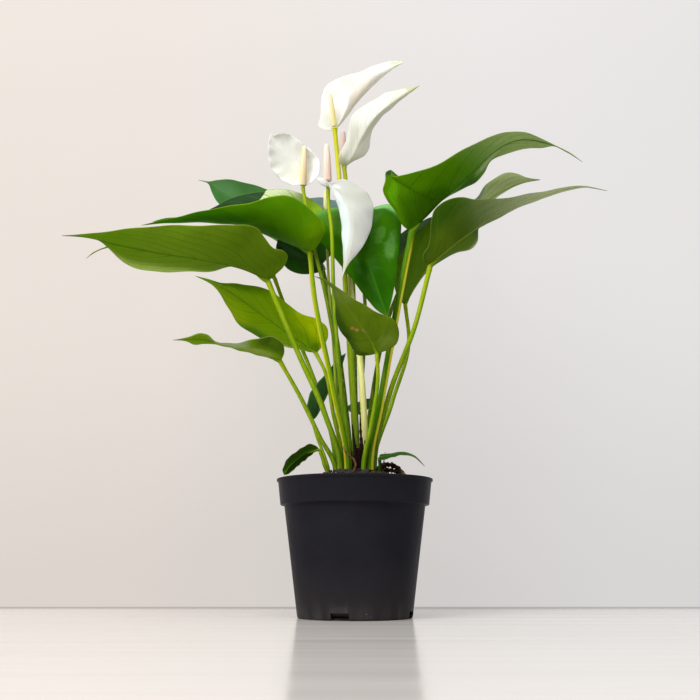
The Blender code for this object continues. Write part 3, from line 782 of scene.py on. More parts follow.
@dataclass(frozen=True)
class Blade:
    """A leaf blade or spathe, stretched between its midrib and its two margins.

    rib, left and right hold the places that each curve passes, from base to tip; the margins
    also start and end where the midrib does. faces is where the upper side looks at the base.
    arch_left and arch_right raise each half towards the upper side between midrib and margin,
    as a share of its width, at base, middle and tip. fan is how closely the rows start at the
    base, wave how far the margin undulates and waves how often. quilt is how far the skin rises
    between side veins, keel how thick the midrib is underneath, and slant how far the side veins
    lean towards the tip.
    """

    rib: tuple[Place, ...]
    left: tuple[Place, ...]
    right: tuple[Place, ...]
    faces: Place = (0.0, 0.0, 1.0)
    arch_left: Place = (0.06, 0.08, 0.02)
    arch_right: Place = (0.06, 0.08, 0.02)
    fan: float = 1.25
    wave: float = 0.5
    waves: float = 6.0
    thickness: float = 0.7
    quilt: float = 0.35
    keel: float = 1.0
    vein_count: float = 9.0
    slant: float = 0.3
    row_spacing: float = 0.9

    @staticmethod
    def eased(values: Place, s: np.ndarray) -> np.ndarray:
        """Ease from a base value to a middle and a tip value with the sine of the place.

        Args:
            values: the three values.
            s: places from base, 0, to tip, 1.

        Returns:
            The value at each place.
        """
        base, middle, tip = values
        ease = np.sin(pi * s)
        return np.where(s < 0.5, base + (middle - base) * ease, middle + (tip - middle) * (1 - ease))

    def length(self) -> float:
        """Length of the midrib in straight stretches between its places."""
        return float(lengths(np.array(self.rib, float))[-1])

    def midrib(self, share: np.ndarray) -> tuple[np.ndarray, np.ndarray]:
        """The midrib at places along it.

        Args:
            share: the places, from 0 to 1.

        Returns:
            Its points and its directions.
        """
        ahead = curve_through(self.rib, np.minimum(share + 0.01, 1.0))
        behind = curve_through(self.rib, np.maximum(share - 0.01, 0.0))
        return curve_through(self.rib, share), unit(ahead - behind)

    def looks(self, forward: np.ndarray) -> np.ndarray:
        """Where the upper side looks at the base, square to the midrib."""
        looks = np.array(self.faces, float)
        return unit(looks - (forward @ looks)[..., None] * forward)

    def half(self, s: np.ndarray, u: np.ndarray, side: int) -> tuple[np.ndarray, np.ndarray]:
        """One half of the blade's middle surface.

        A row runs straight from the midrib to the margin, and an arch of 4u(1 - u) lifts it
        along the normal, which is the cross product of the way along the half and the way
        across it, averaged over neighbouring rows. A wave of sin(waves) * u^2 bends the margin.

        Args:
            s: the rows' places from base, 0, to tip, 1.
            u: places from the midrib, 0, to the margin, 1.
            side: -1 for the left half, 1 for the right one.

        Returns:
            The points, rows by places across, and the width of each row.
        """
        rib = curve_through(self.rib, s ** self.fan)
        edge = curve_through((self.rib[0], *(self.left if side < 0 else self.right), self.rib[-1]), s)
        across = edge - rib
        normal = np.cross(np.gradient(rib + edge, axis=0), across) * -side
        spread = np.exp(-(np.arange(-8, 9) / 4.0) ** 2)
        held = np.pad(normal, ((8, 8), (0, 0)), mode="edge")
        normal = unit(np.stack([np.convolve(held[:, axis], spread, mode="valid") for axis in range(3)], -1))
        width = np.linalg.norm(across, axis=-1)
        arch = self.eased(self.arch_left if side < 0 else self.arch_right, s) * width
        ripple = self.wave * np.sin(2 * pi * self.waves * s + 1.7 * side) * np.sin(pi * s) ** 0.5
        lift = 4 * u * (1 - u) * arch[:, None] + u ** 2 * (ripple * np.clip(width / 12.0, 0, 1))[:, None]
        return rib[:, None] + across[:, None] * u[None, :, None] + normal[:, None] * lift[..., None], width

    def veins(self, s: np.ndarray, u: np.ndarray) -> np.ndarray:
        """The vein coordinate: a side vein leaves the midrib and runs slant * u^1.2 towards the tip."""
        return s - self.slant * np.abs(u) ** 1.2

    def shell(self) -> Shell:
        """The blade with its thickness: an upper and an under skin that meet in a thin margin.

        Around a ring the angle a runs from the left edge over the upper side to the right edge
        and back underneath, and u is -cos a mixed with even steps. A skin lies off the middle
        surface by half the thickness times the root of (1 - u^6), less towards the tip. Between
        side veins the blade is raised by quilt * sin^2, low lumps run all over it, above the
        midrib it has a groove, and under it a keel that thins towards the tip.

        Returns:
            The closed shell, with the marks "growth" and "reach".
        """
        length = self.length()
        rows = int(np.clip(length / self.row_spacing, 50, 190))
        half_ring = 2 * int(np.clip(length * 0.15, 11, 26))
        row = np.linspace(0.006, 1, rows + 1) * 0.985 + 0.015 * np.linspace(0, 1, rows + 1) ** 3
        turn = np.arange(half_ring + 1) * pi / half_ring
        column = -np.clip(0.62 * np.cos(turn) + 0.38 * (1 - 2 * turn / pi), -1, 1)
        middle = half_ring // 2
        left, left_width = self.half(row, -column[:middle + 1], -1)
        right, right_width = self.half(row, column[middle:], 1)
        surface = np.concatenate([left, right[:, 1:]], axis=1)
        s, u = np.broadcast_arrays(row[:, None], column[None])
        half = np.where(u < 0, left_width[:, None], right_width[:, None])
        normal = unit(np.cross(np.gradient(surface, axis=1), np.gradient(surface, axis=0)))
        rib = np.abs(u) * half
        bulge = self.quilt * np.sin(pi * self.veins(s, u) * self.vein_count) ** 2 * np.abs(u) ** 0.5
        bulge = bulge * (1 - np.abs(u) ** 4) * (1 - s ** 4) * np.clip(half / 10.0, 0, 1)
        bulge = bulge + 0.4 * lumps(surface, 22.0, int(length)) * (1 - np.abs(u) ** 6) * np.sin(pi * s) ** 0.5
        surface = surface + normal * bulge[..., None]
        thin = self.thickness / 2 * np.sqrt(1 - np.abs(u) ** 6) * (1 - 0.4 * s)
        groove = 0.3 * self.keel * np.exp(-(rib / 1.1) ** 2) * (1 - s) ** 0.6
        keel = self.keel * np.exp(-(rib / (0.5 + self.keel * (1 - s))) ** 2) * (1 - 0.85 * s)
        keel = keel * np.clip(half / 5.0, 0, 1)
        over = surface + normal * (thin - np.minimum(groove, thin * 0.9))[..., None]
        beneath = surface - normal * (thin + keel)[..., None] * (np.abs(u) < 1)[..., None]
        rings = np.concatenate([over, beneath[:, -2:0:-1]], axis=1)
        around_u = np.concatenate([u, u[:, -2:0:-1]], axis=1)
        around_s = np.broadcast_to(s[:, :1], around_u.shape)
        under = np.concatenate([np.zeros(half_ring + 1), np.ones(half_ring - 1)])
        under[[0, half_ring]] = 0.5
        width = np.where(around_u < 0, left_width[:, None], right_width[:, None])
        under = np.broadcast_to(under, around_u.shape)
        growth = np.stack([self.veins(around_s, around_u), around_u, under], -1)
        reach = np.stack([around_s, np.abs(around_u) * width, (1 - np.abs(around_u)) * width], -1)
        return self.closed(rings, {"growth": growth, "reach": reach})

    @staticmethod
    def closed(rings: np.ndarray, marks: dict[str, np.ndarray]) -> Shell:
        """Lay a skin over the rings and close its two ends between upper and under side.

        Args:
            rings: places of the rings' points, one ring after the other.
            marks: what the finish reads at each point, shaped as rings is.

        Returns:
            The closed shell.
        """
        count, around = rings.shape[:2]
        faces = ring_faces(count, around)
        columns = around // 2
        for start, flip in ((0, True), ((count - 1) * around, False)):
            over = np.arange(columns)
            beneath = (around - over) % around
            quads = np.stack([over, over + 1, (around - over - 1) % around, beneath], -1) + start
            for quad in quads.tolist():
                corners = list(dict.fromkeys(quad))
                faces.append(corners if flip else corners[::-1])
        held = {name: values.reshape(-1, 3) for name, values in marks.items()}
        return Shell(rings.reshape(-1, 3), faces, held).outward()


@dataclass(frozen=True)
class Stalk:
    """A petiole or flower stalk: where it stands, the places it passes, its radius, and its top.

    taper is the share of its radius that it loses on its way up. buried is how deep it stands in
    the soil, and run_on how far a leaf's stalk runs on under the blade.
    """

    foot: tuple[float, float]
    path: tuple[Place, ...]
    radius: float
    top: Place | None = None
    taper: float = 0.1
    buried: float = 5.0
    run_on: float = 11.0

    def shell(self, blade: Blade | None = None) -> Shell:
        """The stalk, from under the soil to what it carries.

        Its radius falls by taper and swells by a fifth at the foot. A leaf's stalk swells again at
        the joint just under the blade, runs on as the blade's keel and thins away. A bloom's stalk
        widens by a third where it meets the spathe.

        Args:
            blade: the leaf blade that it carries, or nothing for a bloom's stalk.

        Returns:
            The shell, with the mark "stem".
        """
        x, y = self.foot
        surface = float(soil_height(np.array(x), np.array(y)))
        knots = [(x, y, surface - self.buried), (x, y, surface + 2.0), *self.path]
        path = smooth_path([*knots, self.top], 2.5) if blade is None else self.under_blade(knots, blade)
        length = lengths(path)
        total = length[-1] - (0.0 if blade is None else self.run_on)
        past = length - total
        width = 1.0 + 0.22 * np.exp(-(length / 16.0) ** 2) - self.taper * np.clip(length / total, 0, 1)
        if blade is None:
            width = width * (1 + 0.35 * np.exp(-(past / 2.2) ** 2))
        else:
            width = width * (1 + 0.14 * np.exp(-((past + 2.0) / 5.0) ** 2))
            width = width * (1 - 0.85 * np.clip(past / self.run_on, 0, 1) ** 1.1)
        uneven = 1 + 0.02 * lumps(path, 18.0, int(10 * self.radius + x * x))
        return tube(path, self.radius * width * uneven, 20)

    def under_blade(self, knots: Sequence[Place], blade: Blade) -> np.ndarray:
        """The path of a leaf's stalk, which ends along the under side of its blade.

        Args:
            knots: the places that it passes below the blade.
            blade: the blade.

        Returns:
            The points of the path.
        """
        place, forward = blade.midrib(np.array([0.0, 5.0, self.run_on]) / blade.length())
        seat = place - blade.looks(forward) * (self.radius * np.array([0.95, 0.75, 0.35]))[:, None]
        main = smooth_path([*knots, seat[0]], 1.6)
        end = smooth_path([main[-4], main[-2], *seat], 0.8)
        return np.vstack([main[:-2], end[3:]])


@dataclass(frozen=True)
class Spadix:
    """A spadix: a tapered finger of packed florets between two places."""

    base: Place
    tip: Place
    radius: float

    def shell(self) -> Shell:
        """The finger, with its florets as low bumps on two crossing families of spirals.

        The radius is a rounded taper, times 1 + 0.06 * cos(7a + kz) * cos(7a - kz).

        Returns:
            The shell, with the marks "stem" and "floret", which is 1 on a floret and 0 between.
        """
        share = (1 - np.cos(np.linspace(0.0, pi, 161))) / 2
        base, tip = np.array(self.base, float), np.array(self.tip, float)
        path = base + (tip - base) * share[:, None]
        width = (1 - 0.42 * share ** 2.2) * np.clip(share / 0.03 + 0.55, 0, 1)
        width = width * np.sqrt(1 - np.clip((share - 0.93) / 0.0705, 0, 1) ** 2)
        turn = ring_turns(72)
        rise = share[:, None] * float(np.linalg.norm(tip - base)) * 2.6
        floret = np.cos(7 * turn[None] + rise) * np.cos(7 * turn[None] - rise)
        shell = tube(path, self.radius * width[:, None] * (1 + 0.06 * floret), 72)
        shell.marks["floret"] = np.concatenate([(floret.ravel() + 1) / 2, [0.5, 0.5]])
        return shell


@dataclass(frozen=True)
class Leaf:
    """A leaf: its blade, its stalk, and the finish of each."""

    name: str
    blade: Blade
    stalk: Stalk
    finish: BladeFinish
    stalk_finish: StalkFinish
    slot: Slot = Slot.LEAF_GREEN

    def build(self) -> None:
        """Make and dress the blade and the stalk."""
        name = self.name
        skin = self.finish.mix("leaf_skin_" + name)
        self.blade.shell().piece("blade_" + name, skin, self.slot, "leaf_" + name)
        skin = self.stalk_finish.mix("stalk_skin_" + name)
        self.stalk.shell(self.blade).piece("stalk_" + name, skin, Slot.PETIOLE, "petiole_" + name)


@dataclass(frozen=True)
class Bloom:
    """An open bloom: its stalk, its white spathe and its spadix."""

    name: str
    spathe: Blade
    stalk: Stalk
    spadix: Spadix
    finish: BladeFinish
    stalk_finish: StalkFinish
    spadix_finish: SpadixFinish
    spadix_slot: Slot

    def build(self) -> None:
        """Make and dress the spathe, the stalk and the spadix."""
        name = self.name
        skin = self.finish.mix("spathe_skin_" + name)
        self.spathe.shell().piece("white_spathe_" + name, skin, Slot.SPATHE, "spathe_" + name)
        skin = self.stalk_finish.mix("bloom_stalk_skin_" + name)
        self.stalk.shell().piece("bloom_stalk_" + name, skin, Slot.PEDUNCLE, "peduncle_" + name)
        skin = self.spadix_finish.mix("floret_skin_" + name)
        self.spadix.shell().piece("florets_" + name, skin, self.spadix_slot, "spadix_" + name)


@dataclass(frozen=True)
class FurledBud:
    """A bloom that is still rolled up: a pale spindle with the spathe's edge wound round it."""

    stalk: Stalk
    base: Place
    tip: Place
    radius: float
    stalk_finish: StalkFinish
    skin: StalkFinish

    def build(self) -> None:
        """Make and dress the bud and its stalk.

        The spindle's radius is sin^0.6 of the share of its length, drawn out to the tip, and
        steps by a seventh at the wound edge, whose angle turns with the height.
        """
        share = np.linspace(0.0, 1.0, 81)
        base, tip = np.array(self.base, float), np.array(self.tip, float)
        path = base + (tip - base) * share[:, None]
        spindle = np.sin(pi * np.clip(share * 0.93 + 0.07, 0, 1)) ** 0.6 * (1 - 0.35 * share)
        turn = np.arange(48) / 48
        wound = (turn[None] + 1.3 * share[:, None]) % 1.0
        radius = self.radius * spindle[:, None] * (1 + 0.14 * wound - 0.1)
        bud = tube(path, np.maximum(radius, 0.12), 48)
        bud.piece("furled_spathe_b5", self.skin.mix("bud_skin"), Slot.SPADIX_CREAM, "bud_b5")
        skin = self.stalk_finish.mix("bud_stalk_skin")
        self.stalk.shell().piece("bloom_stalk_b5", skin, Slot.PEDUNCLE, "peduncle_b5")


@dataclass(frozen=True)
class NurseryPot:
    """A thermoformed nursery pot: a tapered body, a rim band with a lip, and four drain notches."""

    band_height: float = 21.5
    band_foot_radius: float = 61.8
    body_top_radius: float = 58.5
    foot_radius: float = 46.9
    wall: float = 1.2
    floor: float = 1.8
    lip_height: float = 2.2
    lip_reach: float = 1.2
    notch_width: float = 14.5
    notch_height: float = 5.7
    notch_depth: float = 4.2
    notch_count: int = 4
    notch_turn: float = -15.0
    steps: int = 56
    finish: PotFinish = PotFinish()

    def body_radius(self, z: float) -> float:
        """Outer radius of the tapered body at a height."""
        share = z / (POT_HEIGHT - self.band_height)
        return self.foot_radius + (self.body_top_radius - self.foot_radius) * share

    def profile(self) -> tuple[np.ndarray, tuple[int, int], tuple[int, int]]:
        """The turned outline, from the floor's middle up the inside, round the lip and down the outside.

        Returns:
            The points (radius, height), and for the inner and the outer side the first and last
            point of the stretch that a drain notch opens, with as many points on both.
        """
        step = POT_HEIGHT - self.band_height
        band_foot, band_top = self.band_foot_radius, RIM_RADIUS - self.lip_reach
        back = self.foot_radius - self.notch_depth
        top = self.notch_height
        wall = self.wall
        inside = [(0.0, self.floor), (20.0, self.floor), (back, self.floor), (44.0, self.floor + 0.05),
                  (self.body_radius(2.6) - wall - 0.3, 2.6),
                  *((self.body_radius(z) - wall, z) for z in (4.0, (4.0 + top) / 2, top, 40.0)),
                  (self.body_top_radius - wall, step - 1.0), (self.body_top_radius - wall + 0.6, step + 0.4),
                  (band_foot - wall - 0.4, step + wall), (band_foot - wall, step + 2.0),
                  (band_top - wall, POT_HEIGHT - 1.0), (band_top - wall + 0.35, POT_HEIGHT - 0.3)]
        lip = POT_HEIGHT - self.lip_height
        rim = [(band_top, POT_HEIGHT), (RIM_RADIUS - 0.6, POT_HEIGHT), (RIM_RADIUS - 0.15, POT_HEIGHT - 0.2),
               (RIM_RADIUS, POT_HEIGHT - 0.6), (RIM_RADIUS, lip + 0.5), (RIM_RADIUS - 0.2, lip + 0.15),
               (band_top + 0.2, lip - 0.3), (band_top - 0.05, lip - 0.9)]
        band = [(band_foot + 0.05, step + 1.1), (band_foot, step + 0.45),
                (band_foot - 0.45, step), (self.body_top_radius + 0.7, step),
                (self.body_top_radius + 0.15, step - 0.3), (self.body_top_radius - 0.05, step - 1.2)]
        above = inside + rim + band + [(self.body_radius(z), z) for z in (70.0, 50.0, 30.0, 14.0)]
        foot = [(self.body_radius(z), z) for z in (top, 4.0, 1.7)]
        foot += [(self.foot_radius - 0.25, 0.5), (self.foot_radius - 1.4, 0.0), (back, 0.0)]
        under = [(20.0, 0.0), (0.0, 0.0)]
        return np.array(above + foot + under), (2, 7), (len(above), len(above) + 5)

    def build(self) -> None:
        """Turn the outline round the axis and open the notches between the inner and outer side.

        The outline has the same number of points across a notch inside and outside, so each
        side of a notch is a ladder of faces between the two, and so are its top and its back.
        """
        outline, inner, outer = self.profile()
        half = self.notch_width / 2 / self.foot_radius
        each = 2 * pi / self.notch_count
        opening = np.linspace(-half, half, 9)[:-1]
        closed = np.linspace(half, each - half, self.steps, endpoint=False)
        middles = radians(self.notch_turn - 90.0) + np.arange(self.notch_count) * each
        turn = (middles[:, None] + np.concatenate([opening, closed])).ravel()
        open_column = np.tile(np.arange(len(opening) + len(closed)) < len(opening), self.notch_count)
        columns, rows = len(turn), len(outline)
        radius, height = outline[:, 0], outline[:, 1]
        points = np.stack([radius[:, None] * np.cos(turn), radius[:, None] * np.sin(turn),
                           np.broadcast_to(height[:, None], (rows, columns))], -1)
        row, column = np.meshgrid(np.arange(1, rows - 2), np.arange(columns), indexing="ij")
        low, high = ((row >= first) & (row < last) for first, last in (inner, outer))
        kept = ~(open_column[column] & (low | high))
        here = row[kept] * columns + column[kept]
        after = row[kept] * columns + (column[kept] + 1) % columns
        faces = np.stack([here, after, after + columns, here + columns], -1).tolist()
        faces += self.reveals(open_column, columns, inner, outer)
        edge = np.arange(columns)
        after = (edge + 1) % columns
        floor_middle, foot_middle = np.full((2, columns), [[rows * columns], [rows * columns + 1]])
        last = (rows - 2) * columns
        faces += np.stack([edge + columns, after + columns, floor_middle], -1).tolist()
        faces += np.stack([foot_middle, after + last, edge + last], -1).tolist()
        whole = np.vstack([points.reshape(-1, 3), [(0.0, 0.0, self.floor), (0.0, 0.0, 0.0)]])
        used = np.unique(np.concatenate([np.array(face) for face in faces]))
        place = np.zeros(len(whole), int)
        place[used] = np.arange(len(used))
        shell = Shell(whole[used], [place[face].tolist() for face in faces]).outward()
        shell.piece("nursery_pot", self.finish.mix("pot_plastic"), Slot.POT, "pot")

    @staticmethod
    def reveals(open_column: np.ndarray, columns: int, inner: tuple[int, int], outer: tuple[int, int],
                ) -> list[list[int]]:
        """The faces that join a notch's inner and outer outline: its sides, its top and its back.

        Args:
            open_column: whether the column that starts at each turn is open.
            columns: how many columns there are.
            inner: the first and last point of the opened stretch inside.
            outer: the first and last point of the opened stretch outside.

        Returns:
            The faces.
        """
        faces = []
        count = outer[1] - outer[0]
        inside = inner[0] + np.arange(count + 1)
        outside = outer[1] - np.arange(count + 1)
        starts = np.flatnonzero(open_column & ~np.roll(open_column, 1))
        ends = (np.flatnonzero(open_column & ~np.roll(open_column, -1)) + 1) % columns
        for column, flip in [(c, False) for c in starts] + [(c, True) for c in ends]:
            ladder = np.stack([inside[:-1] * columns + column, inside[1:] * columns + column,
                               outside[1:] * columns + column, outside[:-1] * columns + column], -1)
            faces += (ladder[:, ::-1] if flip else ladder).tolist()
        opened = np.flatnonzero(open_column)
        after = (opened + 1) % columns
        for inner_row, outer_row, flip in ((inside[-1], outside[-1], False), (inside[0], outside[0], True)):
            strip = np.stack([inner_row * columns + opened, inner_row * columns + after,
                              outer_row * columns + after, outer_row * columns + opened], -1)
            faces += (strip[:, ::-1] if flip else strip).tolist()
        return faces


@dataclass(frozen=True)
class PottingSoil:
    """The potting mix: a mound with an uneven, crumbly top, loose crumbs and white perlite.

    beside holds the radius and height of the rings that close the mound down beside the pot's wall.
    """

    crumbs: int = 420
    perlite: int = 46
    around: int = 288
    top_radius: float = 58.4
    grain_reach: float = 56.0
    beside: tuple[tuple[float, float], ...] = (
        (59.6, 103.0), (59.9, 94.0), (56.7, 90.5), (46.5, 7.7), (40.5, 2.1))
    finish: EarthFinish = EarthFinish()
    seed: int = 7

    def build(self) -> None:
        """Make and dress the mound, the crumbs and the perlite."""
        self.mound().piece("potting_mix", self.finish.mix("potting_mix"), Slot.SOIL, "soil")
        pick = np.random.default_rng(self.seed)
        crumbs = self.grains(self.crumbs, 0.7, 1.9, pick, 0.2)
        dark = EarthFinish(peat=(0.012, 0.008, 0.006), fibre=(0.07, 0.04, 0.025))
        crumbs.piece("soil_crumbs", dark.mix("soil_crumb"), Slot.SOIL, "soil")
        perlite = self.grains(self.perlite, 0.6, 1.3, pick, 0.1)
        white = EarthFinish(peat=(0.62, 0.6, 0.55), fibre=(0.78, 0.76, 0.7), grain=(0.3, 0.25, 0.2))
        perlite.piece("perlite_grains", white.mix("perlite"), Slot.SOIL, "soil")

    def mound(self) -> Shell:
        """The mound: the soil height plus lumps of three sizes, closed down beside the pot's wall.

        Returns:
            The closed shell.
        """
        side = np.array(self.beside)
        rings = np.concatenate([np.linspace(0.6, self.top_radius, 92), side[:, 0]])
        turn = ring_turns(self.around)
        x, y = rings[:, None] * np.cos(turn), rings[:, None] * np.sin(turn)
        z = soil_height(x, y)
        flat = np.stack([x, y, np.zeros_like(x)], -1)
        rough = sum(height * lumps(flat, size, seed, 24)
                    for height, size, seed in ((0.75, 7.0, 3), (0.5, 3.2, 4), (0.32, 1.5, 5)))
        calm = np.clip((59.5 - rings) / 3.0, 0, 1)[:, None]
        z = z + np.clip(rough, -1.8, 2.2) * calm
        z[-len(side):] = side[:, 1:]
        return rings_to_shell(np.stack([x, y, z], -1))

    def grains(self, count: int, small: float, large: float, pick: np.random.Generator, sink: float) -> Shell:
        """Loose grains on the mound: small uneven twenty-sided lumps, each squashed its own way.

        Args:
            count: how many.
            small: the smallest radius.
            large: the largest radius.
            pick: the source of chance.
            sink: how deep a grain sits, as a share of its radius.

        Returns:
            All grains as one shell.
        """
        golden = (1 + 5 ** 0.5) / 2
        corners = unit(np.array([(-1, golden, 0), (1, golden, 0), (-1, -golden, 0), (1, -golden, 0),
                                 (0, -1, golden), (0, 1, golden), (0, -1, -golden), (0, 1, -golden),
                                 (golden, 0, -1), (golden, 0, 1), (-golden, 0, -1), (-golden, 0, 1)], float))
        sides = np.array([(0, 11, 5), (0, 5, 1), (0, 1, 7), (0, 7, 10), (0, 10, 11), (1, 5, 9), (5, 11, 4),
                          (11, 10, 2), (10, 7, 6), (7, 1, 8), (3, 9, 4), (3, 4, 2), (3, 2, 6), (3, 6, 8),
                          (3, 8, 9), (4, 9, 5), (2, 4, 11), (6, 2, 10), (8, 6, 7), (9, 8, 1)])
        size = pick.uniform(small, large, (count, 1, 1)) * pick.uniform(0.6, 1.0, (count, 1, 3))
        shape = corners * size * pick.uniform(0.75, 1.2, (count, 12, 1))
        away = self.grain_reach * np.sqrt(pick.uniform(0.02, 1.0, count))
        angle = pick.uniform(0, 2 * pi, count)
        x, y = away * np.cos(angle), away * np.sin(angle)
        lift = size[:, 0, 2] * (0.75 - sink)
        centre = np.stack([x, y, soil_height(x, y) + lift + 0.3], -1)
        faces = (sides[None] + 12 * np.arange(count)[:, None, None]).reshape(-1, 3).tolist()
        return Shell((shape + centre[:, None]).reshape(-1, 3), faces).outward()


@dataclass(frozen=True)
class Crown:
    """The crown: a short dark stock, a bundle of dry fibres round it, and three stiff spikes."""

    place: tuple[float, float] = (4.0, -9.0)
    stock_radius: float = 5.4
    stock_height: float = 21.0
    fibres: int = 90
    tall_fibres: int = 7
    fibre_height: tuple[float, float] = (9.0, 22.0)
    spikes: tuple[tuple[Place, ...], ...] = (
        ((5.5, -12, 118), (5.8, -13, 136), (4.8, -13, 151), (4.4, -12.5, 166.5)),
        ((1.5, -12, 118), (0.2, -13, 134), (-2.2, -13, 157)),
        ((8.0, -11, 118), (9.0, -12, 131), (8.2, -12.5, 143)))
    finish: FibreFinish = FibreFinish((0.007, 0.003, 0.003), (0.032, 0.012, 0.010), (0.024, 0.010, 0.007))

    def build(self) -> None:
        """Make and dress the stock, its fibres and the spikes as one piece.

        A fibre starts on a ring round the stock, leans outwards by a random share and wavers,
        and its radius falls evenly to a fine end.
        """
        x, y = self.place
        base = float(soil_height(np.array(x), np.array(y))) - 2.0
        rise = np.linspace(0, 1, 30)
        path = np.stack([np.full(30, x), np.full(30, y), base + rise * self.stock_height], -1)
        turn = ring_turns(32)
        grooves = np.sin(11 * turn[None] + 3 * np.sin(9 * rise[:, None]))
        rough = 1 + 0.12 * grooves + 0.06 * np.sin(23 * turn)[None]
        whole = tube(path, self.stock_radius * (1.05 - 0.45 * rise)[:, None] * rough, 32)
        pick = np.random.default_rng(11)
        climb = np.linspace(0, 1, 14)
        for number in range(self.fibres):
            angle = pick.uniform(0, 2 * pi)
            stand = pick.uniform(0.4, 1.0) * self.stock_radius
            tall = 19.0 + 1.3 * number if number < self.tall_fibres else pick.uniform(*self.fibre_height)
            lean = pick.uniform(-0.05, 0.22)
            start = np.array([x + stand * cos(angle), y + stand * sin(angle), base])
            waver = 0.5 * np.sin(climb * pick.uniform(3, 7) + pick.uniform(0, 6)) * climb
            out = tall * lean * climb ** 1.6
            path = start + np.stack([out * cos(angle) + waver * sin(angle),
                                     out * sin(angle) - waver * cos(angle), tall * climb], -1)
            whole = whole.joined(tube(path, (0.62 - 0.5 * climb) * pick.uniform(0.7, 1.2), 6))
        for spike in self.spikes:
            route = smooth_path(spike, 1.2)
            thin = np.linspace(2.0, 0.45, len(route))
            whole = whole.joined(tube(route, thin * (1 + 0.15 * lumps(route, 3.0, 21)), 10))
        whole.piece("crown_fibres", self.finish.mix("crown_fibre"), Slot.CROWN, "crown")


@dataclass(frozen=True)
class DryBits:
    """The dry bits on the soil: a curled sheath, an arched root with a forked end, and a thin spike."""

    sheath: tuple[Place, ...] = (
        (-1.0, -22.5, 116), (0.5, -23, 122.5), (-1.5, -23.5, 126.8), (-6.5, -23.8, 130.9),
        (-10.1, -22.5, 137.4))
    root: tuple[Place, ...] = (
        (18.5, -8, 115.5), (21, -8.6, 121.0), (28, -10, 123.4), (35.5, -11.5, 120.6), (42, -13, 113.2))
    fork: tuple[Place, ...] = ((19, -10.5, 115), (27, -11, 118.6), (35, -11.5, 117.2), (43, -12, 112.5))
    spike: tuple[Place, ...] = ((24, -5, 115.5), (24.2, -5, 126), (25.5, -5, 134.5))

    def build(self) -> None:
        """Make and dress the sheath, the root and the spike."""
        brown = FibreFinish((0.075, 0.028, 0.016), (0.26, 0.13, 0.07), (0.32, 0.2, 0.11))
        curl = self.bark(self.sheath, 1.0, 0.5, 0.3)
        curl.piece("dry_sheath_curl", brown.mix("dry_sheath_skin"), Slot.DRY_BROWN, "dry_sheath")
        root = FibreFinish((0.02, 0.009, 0.006), (0.07, 0.035, 0.02), (0.34, 0.22, 0.11))
        arch = self.bark(self.root, 2.3, 1.1, 0.28).joined(self.bark(self.fork, 2.3, 1.0, 0.3))
        arch.piece("dry_root_arch", root.mix("dry_root_skin"), Slot.DRY_BROWN, "dry_root")
        dark = FibreFinish((0.02, 0.009, 0.008), (0.07, 0.03, 0.02), (0.05, 0.03, 0.02))
        point = self.bark(self.spike, 0.8, 0.2, 0.12)
        point.piece("dry_spike_end", dark.mix("dry_spike_skin"), Slot.CROWN, "dry_spike")

    @staticmethod
    def bark(route: tuple[Place, ...], start: float, end: float, rough: float) -> Shell:
        """A gnarled bar along a route, its radius times 1 plus lumps of a size of 1.6 mm.

        Args:
            route: the places that it passes.
            start: its radius at the first place.
            end: its radius at the last place.
            rough: how high the lumps are, as a share of the radius.

        Returns:
            The shell, with the mark "stem".
        """
        path = smooth_path(route, 0.6)
        turn = ring_turns(18)
        skin = np.stack(np.broadcast_arrays(3 * np.cos(turn)[None], 3 * np.sin(turn)[None],
                                            np.arange(len(path))[:, None] * 0.6), -1)
        taper = np.linspace(start, end, len(path))[:, None]
        return tube(path, taper * (1 + rough * lumps(skin, 1.6, 9)), 18)


